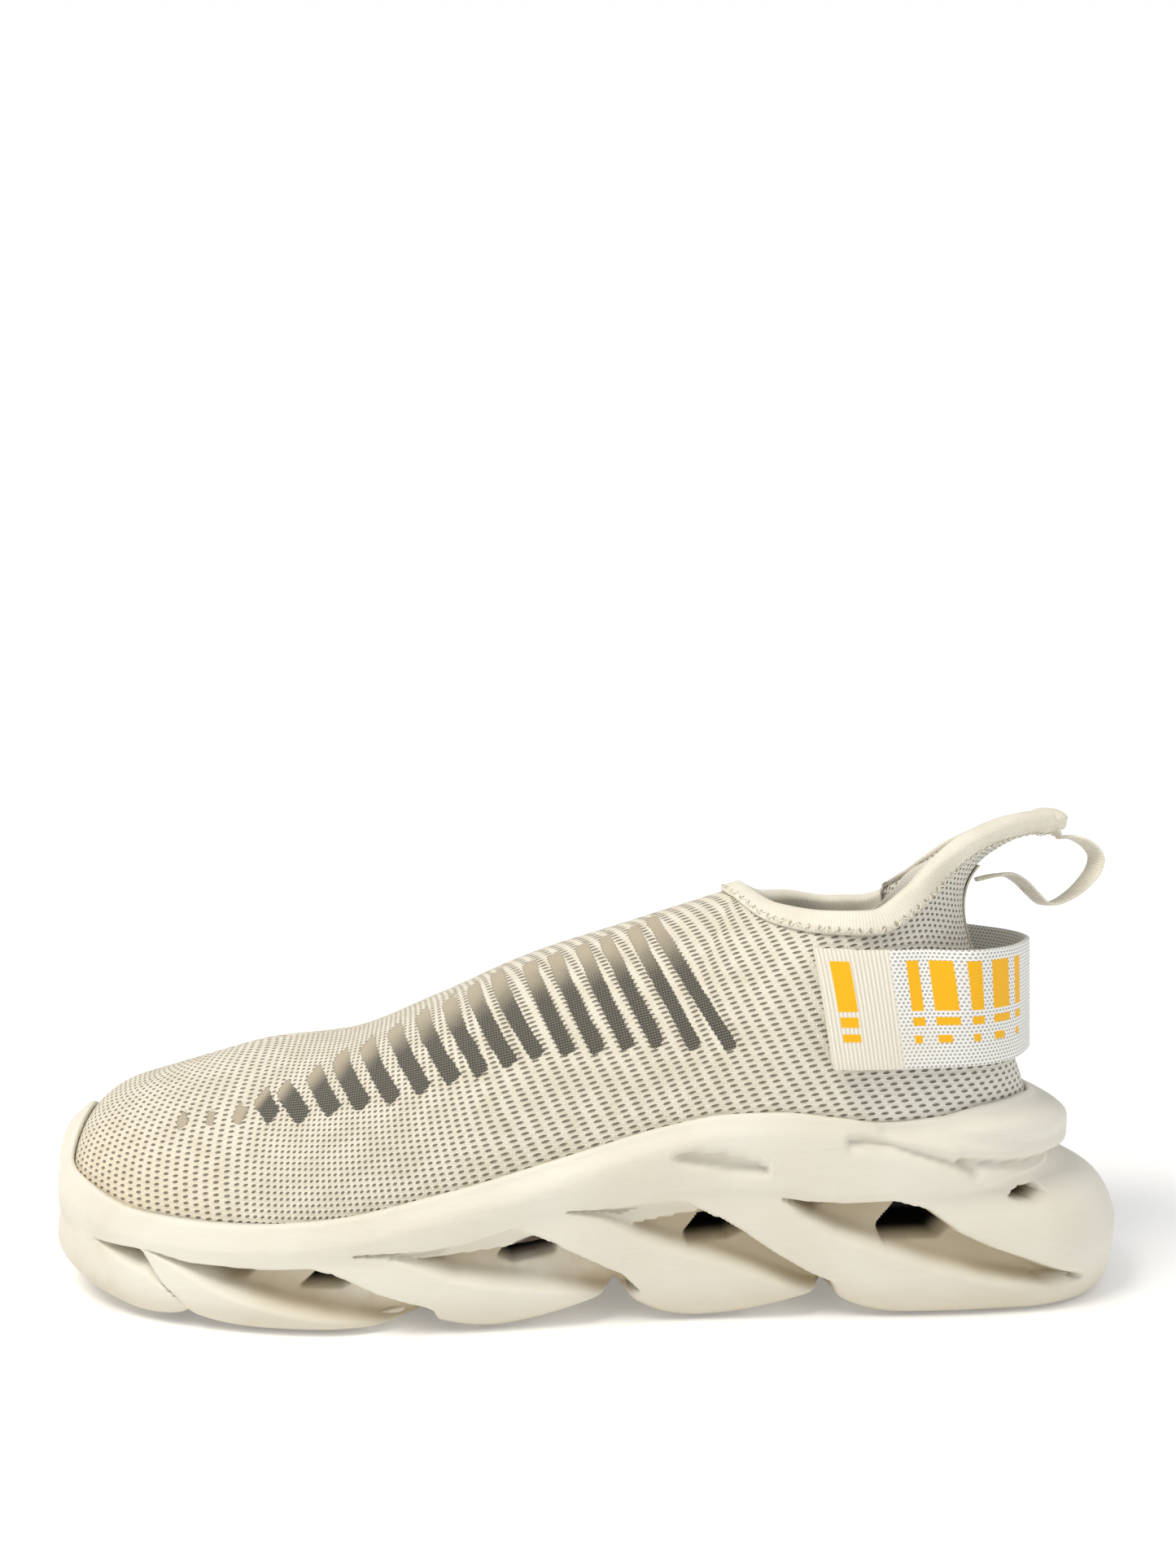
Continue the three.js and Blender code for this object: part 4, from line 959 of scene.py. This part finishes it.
KNIT_IN = -KNIT - CLEARANCE
legs = [under_edge(BINDING_WIDTH * share) for share in (1, 0.9, 0.6, 0.3)]
legs.append((edge, edge_normal))
thickness = [0.45, 1, 1.08, 1.12, 1.05]
outer_leg = [p + n * (CLEARANCE + BINDING * share) for (p, n), share in zip(legs, thickness)]
inner_leg = [p + n * (KNIT_IN - BINDING * share) for (p, n), share in zip(legs, thickness)][::-1]
middle_of = CLEARANCE + BINDING - (KNIT + 2 * CLEARANCE + 2 * BINDING) / 2
half_across = (KNIT + 2 * CLEARANCE + 2 * BINDING) / 2
crown = []
for turn in np.linspace(0.35, math.pi - 0.35, 7):
    over = edge_down * (CLEARANCE + BINDING) * math.sin(turn)
    crown.append(edge - over + edge_normal * (middle_of + half_across * math.cos(turn)))
inside_skin = [edge - edge_down * CLEARANCE + edge_normal * d for d in (KNIT_IN, CLEARANCE)]
foot, foot_out = legs[0]
lining_up, lining_down = foot + foot_out * KNIT_IN, foot + foot_out * CLEARANCE
section = outer_leg + crown + inner_leg + [lining_up] + inside_skin + [lining_down]
section.append(section[0])
binding_grid = np.stack(section, 1)
edge_mm = np.concatenate([[0], np.cumsum(np.linalg.norm(np.diff(edge, axis=0), axis=1))])
across_mm = np.linspace(0, 16, binding_grid.shape[1])
binding_uv = np.stack(np.meshgrid(edge_mm, across_mm, indexing="ij"), -1)
binding = from_grid("collar_tape", binding_grid, uvs=[("stitch", binding_uv)])
face_out(binding)

satin_tape, shader, place = cloth_material("satin_tape", 0.6)
shader.inputs["Sheen Weight"].default_value = 0.3
u, v, _ = split(place.node("ShaderNodeUVMap", uv_map="stitch"))
soil = mottle(place, 70.0, 4.0)
ribs = (u / 0.75).wave() * 0.5 + 0.5
tape_tone = soil.step(0.35, 0.75).blend(rgb(238, 234, 220), rgb(224, 217, 199))
# Painted shade: a row of small holes near one edge of the tape is painted dark.
hole_u = (u / 2.4).off_middle()
holes = (1 - (hole_u * hole_u * 40 + (v - 1.0) * (v - 1.0) * 5).step(0.3, 1.2)) * (v - 0.1).step(0, 0.2)
tape_tone = (holes * 0.6).blend(tape_tone, rgb(120, 106, 80))
# Painted shade: darker in the grooves between the cross ribs.
lead((ribs * 0.25).blend(tape_tone, rgb(196, 188, 168)), shader, "Base Color")
raise_surface(1 - ribs - holes * 1.5, shader, 0.00025, 0.6)
binding.data.materials.append(satin_tape)
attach(binding, "shoe")
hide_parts("collar_binding")

TIP_SIZE = (0.0125, 0.0125, 0.0058)
TIP_X, TIP_Z = 0.1342, 0.1276
bpy.ops.mesh.primitive_cube_add(size=1, location=(0, 0, 0))
tip_fold = bpy.context.object
tip_fold.name = "tab_tip_fold"
bpy.ops.transform.resize(value=TIP_SIZE)
bpy.ops.object.transform_apply(location=False, rotation=True, scale=True)
apply_modifier(tip_fold, "SUBSURF", levels=4, render_levels=4)
tilt = math.radians(-6)
for corner in tip_fold.data.vertices:
    x, y, z = corner.co
    z += 0.0007 * math.cos(y / TIP_SIZE[1] * math.pi) - 0.0006
    tilted_x = x * math.cos(tilt) - z * math.sin(tilt) + TIP_X
    tilted_z = x * math.sin(tilt) + z * math.cos(tilt) + TIP_Z
    corner.co = (tilted_x + shift[0] * MM, y + shift[1] * MM, tilted_z)
fold_uv = tip_fold.data.uv_layers.new(name="stitch")
for loop in tip_fold.data.loops:
    spot = tip_fold.data.vertices[loop.vertex_index].co
    fold_uv.data[loop.index].uv = (spot.y / MM, spot.x / MM)
tip_fold.data.polygons.foreach_set("use_smooth", [True] * len(tip_fold.data.polygons))
tip_fold.data.materials.append(satin_tape)
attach(tip_fold, "shoe")

# One stitch, copied along each seam.
bpy.ops.mesh.primitive_uv_sphere_add(segments=6, ring_count=4, radius=0.5)
stitch = bpy.context.object
stitch_points = np.array([corner.co[:] for corner in stitch.data.vertices])[:, [2, 0, 1]]
stitch_faces = [list(face.vertices) for face in stitch.data.polygons]
bpy.data.objects.remove(stitch)

thread, shader, place = cloth_material("sewing_thread", 0.7)
ply = mottle(place, 2500.0, 2.0)
lead(ply.step(0.3, 0.7).blend(rgb(206, 198, 178), rgb(244, 241, 230)), shader, "Base Color")
raise_surface(ply, shader, 0.0001, 0.5)


def sew(name, places, ways, outs, length, width, cotton):
    """A seam of stitches at places, each lying along its way on a surface facing out."""
    ways = ways / np.linalg.norm(ways, axis=1, keepdims=True)
    sides = np.cross(outs, ways)
    points, faces = [], []
    for k, (place_k, way, side_k, out) in enumerate(zip(places, ways, sides, outs)):
        turned = stitch_points @ np.stack([way * length, side_k * width, out * width * 0.8])
        points.append(turned + place_k)
        faces += [[i + k * len(stitch_points) for i in face] for face in stitch_faces]
    mesh = bpy.data.meshes.new(name)
    mesh.from_pydata(((np.concatenate(points) + shift) * MM).tolist(), [], faces)
    mesh.polygons.foreach_set("use_smooth", [True] * len(mesh.polygons))
    seam = bpy.data.objects.new(name, mesh)
    bpy.context.collection.objects.link(seam)
    face_out(seam)
    mesh.materials.append(cotton)
    return seam


seam_points = outer_leg[1] * 0.8 + outer_leg[2] * 0.2 + legs[1][1] * 0.16
STITCH_PITCH = 1.7
seam_mm = np.arange(1.0, edge_mm[-1] - 1, STITCH_PITCH)
seam_at, seam_out, seam_down = (
    np.stack([np.interp(seam_mm, edge_mm, values[:, k]) for k in range(3)], 1)
    for values in (seam_points, legs[1][1], edge_down)
)
seam_out /= np.linalg.norm(seam_out, axis=1, keepdims=True)
seam_way = np.gradient(seam_at, axis=0)
seam_way /= np.linalg.norm(seam_way, axis=1, keepdims=True)
zigzag = np.where(np.arange(len(seam_mm)) % 2 == 0, 0.75, -0.75)[:, None]
collar_seam = sew("collar_zigzag", seam_at, seam_way + seam_down * zigzag, seam_out, 2.3, 0.5, thread)
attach(collar_seam, "shoe")


# ------------------------------------------------------------------ back seam tape
# A narrow tape covers the seam up the back of the heel.
seam_tape = wall_layer("back_tape", (-0.5, 0.5), (0.3, 0.8), CLEARANCE + 0.6, 0.6)
seam_tape.data.materials.append(satin_tape)
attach(seam_tape, "shoe")
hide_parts("back_seam_tape")


# ------------------------------------------------------------------ heel strap
# A wide elastic webbing, sewn to the knit on both sides with a folded hem and passing free behind the
# heel. Its front ends are ribbed; the rest is a basket weave with plain woven-in marks.
STRAP = 1.4
STRAP_WIDTH = 30
STRAP_BOTTOM = 64
STRAP_FREE = [[100, 33.4], [107, 30], [113, 24.8], [118.5, 17], [122.8, 8.5], [124.2, 0]]
STRAP_LAID = [64, 71, 79, 89]
HEM = 10
HEM_FOLD = 1.1
BARS = ((22, 3.4), (28.5, 6.5), (38, 3.4), (44.5, 6.5), (54, 3.4))
TALL, LONG_DASH, SHORT_DASH = (14.5, 27.2), (10.8, 12.9), (6.4, 8.4)


def smooth_line(points, count):
    """Evenly spaced points on an open centripetal spline."""
    points = np.asarray(points, float)
    points = np.concatenate([[2 * points[0] - points[1]], points, [2 * points[-1] - points[-2]]])
    fine = []
    for a, b, c, d in zip(points[:-3], points[1:-2], points[2:-1], points[3:]):
        gap = [max(np.linalg.norm(q - p), 1e-6) ** 0.5 for p, q in ((a, b), (b, c), (c, d))]
        slope_b = (b - a) / gap[0] - (c - a) / (gap[0] + gap[1]) + (c - b) / gap[1]
        slope_c = (c - b) / gap[1] - (d - b) / (gap[1] + gap[2]) + (d - c) / gap[2]
        fine += [hermite(b, c, slope_b * gap[1], slope_c * gap[1], k / 24) for k in range(24)]
    fine = np.array(fine + [points[-2]])
    run = np.concatenate([[0], np.cumsum(np.linalg.norm(np.diff(fine, axis=0), axis=1))])
    even = np.linspace(0, run[-1], count)
    return np.stack([np.interp(even, run, fine[:, k]) for k in range(fine.shape[1])], 1), run[-1]


def strap_line(share, count):
    height = STRAP_BOTTOM + share * STRAP_WIDTH
    knit_stations = np.linspace(3.2, 7.4, 60)
    knit = wall(knit_stations, wall_share(knit_stations, height))
    laid = []
    for i, x in enumerate(STRAP_LAID):
        x -= 4 * share if i == 0 else 0
        passed = (knit[:, 0] > x - 1) & (knit[:, 0] < x + 6)
        laid.append([x, knit[passed, 1].min() - CLEARANCE - 0.3 - STRAP, height])
    side_points = laid + [[x, -y, height] for x, y in STRAP_FREE]
    return smooth_line(side_points + [[x, -y, z] for x, y, z in side_points[-2::-1]], count)


ALONG = 260
ACROSS = 15
strap_rows = [strap_line(share, ALONG) for share in np.linspace(0, 1, ACROSS)]
strap_mm = np.mean([length for _, length in strap_rows])
strap_grid = np.stack([row for row, _ in strap_rows], 1)
strap_way = np.gradient(strap_grid, axis=0)
strap_out = np.stack([strap_way[..., 1], -strap_way[..., 0], 0 * strap_way[..., 0]], -1)
strap_out /= np.linalg.norm(strap_out, axis=-1, keepdims=True)
strap_u = np.linspace(0, strap_mm, ALONG)
strap_v = np.linspace(0, STRAP_WIDTH, ACROSS)
strap_uv = np.stack(np.meshgrid(strap_u, strap_v, indexing="ij"), -1)
strap = from_grid("elastic_strap", strap_grid + strap_out * STRAP, uvs=[("weave", strap_uv)])
apply_modifier(strap, "SOLIDIFY", thickness=(STRAP - 0.1) * MM, offset=-1)
apply_modifier(strap, "BEVEL", width=0.0003, segments=2, limit_method="ANGLE")

webbing, shader, place = cloth_material("basket_webbing", 0.75)
shader.inputs["Sheen Weight"].default_value = 0.15
u, v, _ = split(place.node("ShaderNodeUVMap", uv_map="weave"))
from_end = u.sum("MINIMUM", strap_mm - u)
fuzz = mottle(place, 1700.0, 3.0)
soil = mottle(place, 60.0, 3.0)
line = (v / 0.95).sum("FLOOR")
dot_u = (u / 1.25 + line * 0.5).off_middle()
dot_v = (v / 0.95).off_middle()
dots = 1 - (dot_u * dot_u * 9 + dot_v * dot_v * 9).step(0.35, 1.1)
ribbed_end = 1 - from_end.step(17.5, 19.0)
ribs = (u / 1.05).wave() * 0.5 + 0.5
fine_rows = (v / 0.6).wave() * 0.5 + 0.5
# Painted shade: the pits of the basket weave are painted grey.
basket = (dots * 0.9).blend(rgb(240, 240, 237), rgb(158, 157, 152))
# Painted shade: darker in the grooves between the ribs of the ends.
ribbed = (ribs * 0.6 + fine_rows * 0.15).blend(rgb(246, 242, 231), rgb(205, 196, 174))
cloth_tone = ribbed_end.blend(basket, ribbed)
cloth_tone = (soil.step(0.45, 0.8) * 0.3).blend(cloth_tone, rgb(224, 216, 196))


def inside_band(value, low, high, soft=0.12):
    return value.step(low - soft, low + soft) * (1 - value.step(high - soft, high + soft))


# Woven-in marks: tall bars over two lines of short dashes.
marks = inside_band(from_end, 3.2, 8.2) * inside_band(v, 14.5, 27)
marks = marks.sum("MAXIMUM", inside_band(from_end, 3.4, 8.0) * inside_band(v, 10.6, 13.2))
marks = marks.sum("MAXIMUM", inside_band(from_end, 3.4, 8.0) * inside_band(v, 7, 9))
for first, wide in BARS:
    for reach, heights in ((wide, TALL), (wide, LONG_DASH), (wide * 0.6, SHORT_DASH)):
        marks = marks.sum("MAXIMUM", inside_band(from_end, first, first + reach) * inside_band(v, *heights))
satin = (v / 0.3).wave() * 0.5 + 0.5
yellow = (satin * 0.3 + fuzz * 0.3).blend(rgb(250, 190, 18), rgb(222, 156, 8))
lead(marks.blend(cloth_tone, yellow), shader, "Base Color")
weave_height = (1 - ribbed_end) * (1 - dots) + ribbed_end * (1 - ribs) + fuzz * 0.2
raise_surface((1 - marks) * weave_height + marks * (0.9 + satin * 0.1), shader, 0.0003, 0.7)
strap.data.materials.append(webbing)
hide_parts("heel_strap")

hem_rows = int(HEM / strap_mm * ALONG) + 1
hems = []
front_ends = {"strap_hem_lateral": slice(0, hem_rows), "strap_hem_medial": slice(ALONG - hem_rows, ALONG)}
for name, part in front_ends.items():
    hem = from_grid(name, (strap_grid + strap_out * 0.05)[part], uvs=[("weave", strap_uv[part])])
    apply_modifier(hem, "SOLIDIFY", thickness=HEM_FOLD * MM, offset=-1)
    hem.data.materials.append(webbing)
    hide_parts("heel_strap")
    hems.append(hem)

dark_thread, shader, place = cloth_material("dark_thread", 0.7)
ply = mottle(place, 2500.0, 2.0)
lead(ply.step(0.3, 0.7).blend(rgb(66, 56, 40), rgb(122, 108, 82)), shader, "Base Color")
raise_surface(ply, shader, 0.0001, 0.5)
seams = []
for from_front in (2.3, 9.2):
    for end in (from_front, strap_mm - from_front):
        k = np.interp(end, strap_u, np.arange(ALONG))
        column = strap_grid[int(k)] * (1 - k % 1) + strap_grid[int(k) + 1] * (k % 1)
        out = strap_out[int(k)]
        heights = np.arange(STRAP_BOTTOM + 1.2, STRAP_BOTTOM + STRAP_WIDTH - 0.8, 2.3)
        at = np.stack([np.interp(heights, column[:, 2], column[:, j]) for j in range(3)], 1)
        outs = np.stack([np.interp(heights, column[:, 2], out[:, j]) for j in range(3)], 1)
        ways = np.gradient(at, axis=0)
        name = "hem_seam_%d" % (len(seams) + 1)
        seams.append(sew(name, at + outs * (STRAP + 0.16), ways, outs, 1.7, 0.7, dark_thread))
for piece in [strap] + hems + seams:
    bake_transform(piece)


# ------------------------------------------------------------------ pull loop
# A narrow ribbed webbing, its ends sewn under the tip of the tab and into the back of the collar. It
# bows out behind the heel with a slight twist.
LOOP_HALF, LOOP_END = 4, 1.5
LOOP_PATH = [
    [136.8, 121.6], [141.6, 121.5], [146, 119.2], [148, 116], [147.2, 112.2], [143.6, 107.6], [139.6, 104.4],
    [135.8, 102.6], [132.8, 102.6], [129.6, 105.4], [126, 109], [122.6, 110.8], [118, 110.5], [113.3, 109.4],
]
loop_line, loop_mm = smooth_line([[x, 0, z] for x, z in LOOP_PATH], 140)
loop_way = np.gradient(loop_line, axis=0)
loop_way /= np.linalg.norm(loop_way, axis=1, keepdims=True)
flat_out = np.stack([loop_way[:, 2], 0 * loop_way[:, 0], -loop_way[:, 0]], 1)
progress = np.linspace(0, 1, len(loop_line))
twist = 0.16 * np.sin(progress * 2 * math.pi)
sideways = np.array([[0, 1, 0]]) * np.cos(twist)[:, None] + flat_out * np.sin(twist)[:, None]
outwards = flat_out * np.cos(twist)[:, None] - np.array([[0, 1, 0]]) * np.sin(twist)[:, None]
half_width = LOOP_END + (LOOP_HALF - LOOP_END) * np.clip(np.minimum(progress, 1 - progress) * 9, 0, 1)
ring = []
for turn in np.linspace(0, 2 * math.pi, 25):
    flat_y = np.sign(math.cos(turn)) * abs(math.cos(turn)) ** 0.35
    flat_z = np.sign(math.sin(turn)) * abs(math.sin(turn)) ** 0.6
    ring.append(loop_line + sideways * (half_width * flat_y)[:, None] + outwards * 0.55 * flat_z)
loop_grid = np.stack(ring, 1)
loop_grid = close_ends(loop_grid)
loop_u = np.concatenate([[0], np.linspace(0, loop_mm, len(loop_line)), [loop_mm]])
loop_uv = np.stack(np.meshgrid(loop_u, np.linspace(0, 17, 25), indexing="ij"), -1)
pull_loop = from_grid("webbing_loop", loop_grid, uvs=[("stitch", loop_uv)])
face_out(pull_loop)
pull_loop.data.materials.append(satin_tape)
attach(pull_loop, "loop")
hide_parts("pull_loop")

# The upper end of the webbing is folded under and sewn to the tip of the tab.
anchor_line, anchor_mm = smooth_line([[133.2, 0, 128.2], [135.2, 0, 125.6], [136.6, 0, 122.4]], 20)
anchor_grid = np.stack([
    anchor_line + np.array([0.9 * math.sin(turn), 3.4 * math.cos(turn), 0.5 * math.sin(turn)])
    for turn in np.linspace(0, 2 * math.pi, 21)
], 1)
anchor_grid = close_ends(anchor_grid)
anchor_u = np.concatenate([[0], np.linspace(0, anchor_mm, 20), [anchor_mm]])
anchor_uv = np.stack(np.meshgrid(anchor_u, np.linspace(3, 14, 21), indexing="ij"), -1)
anchor = from_grid("loop_anchor", anchor_grid, uvs=[("stitch", anchor_uv)])
face_out(anchor)
anchor.data.materials.append(satin_tape)
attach(anchor, "shoe")
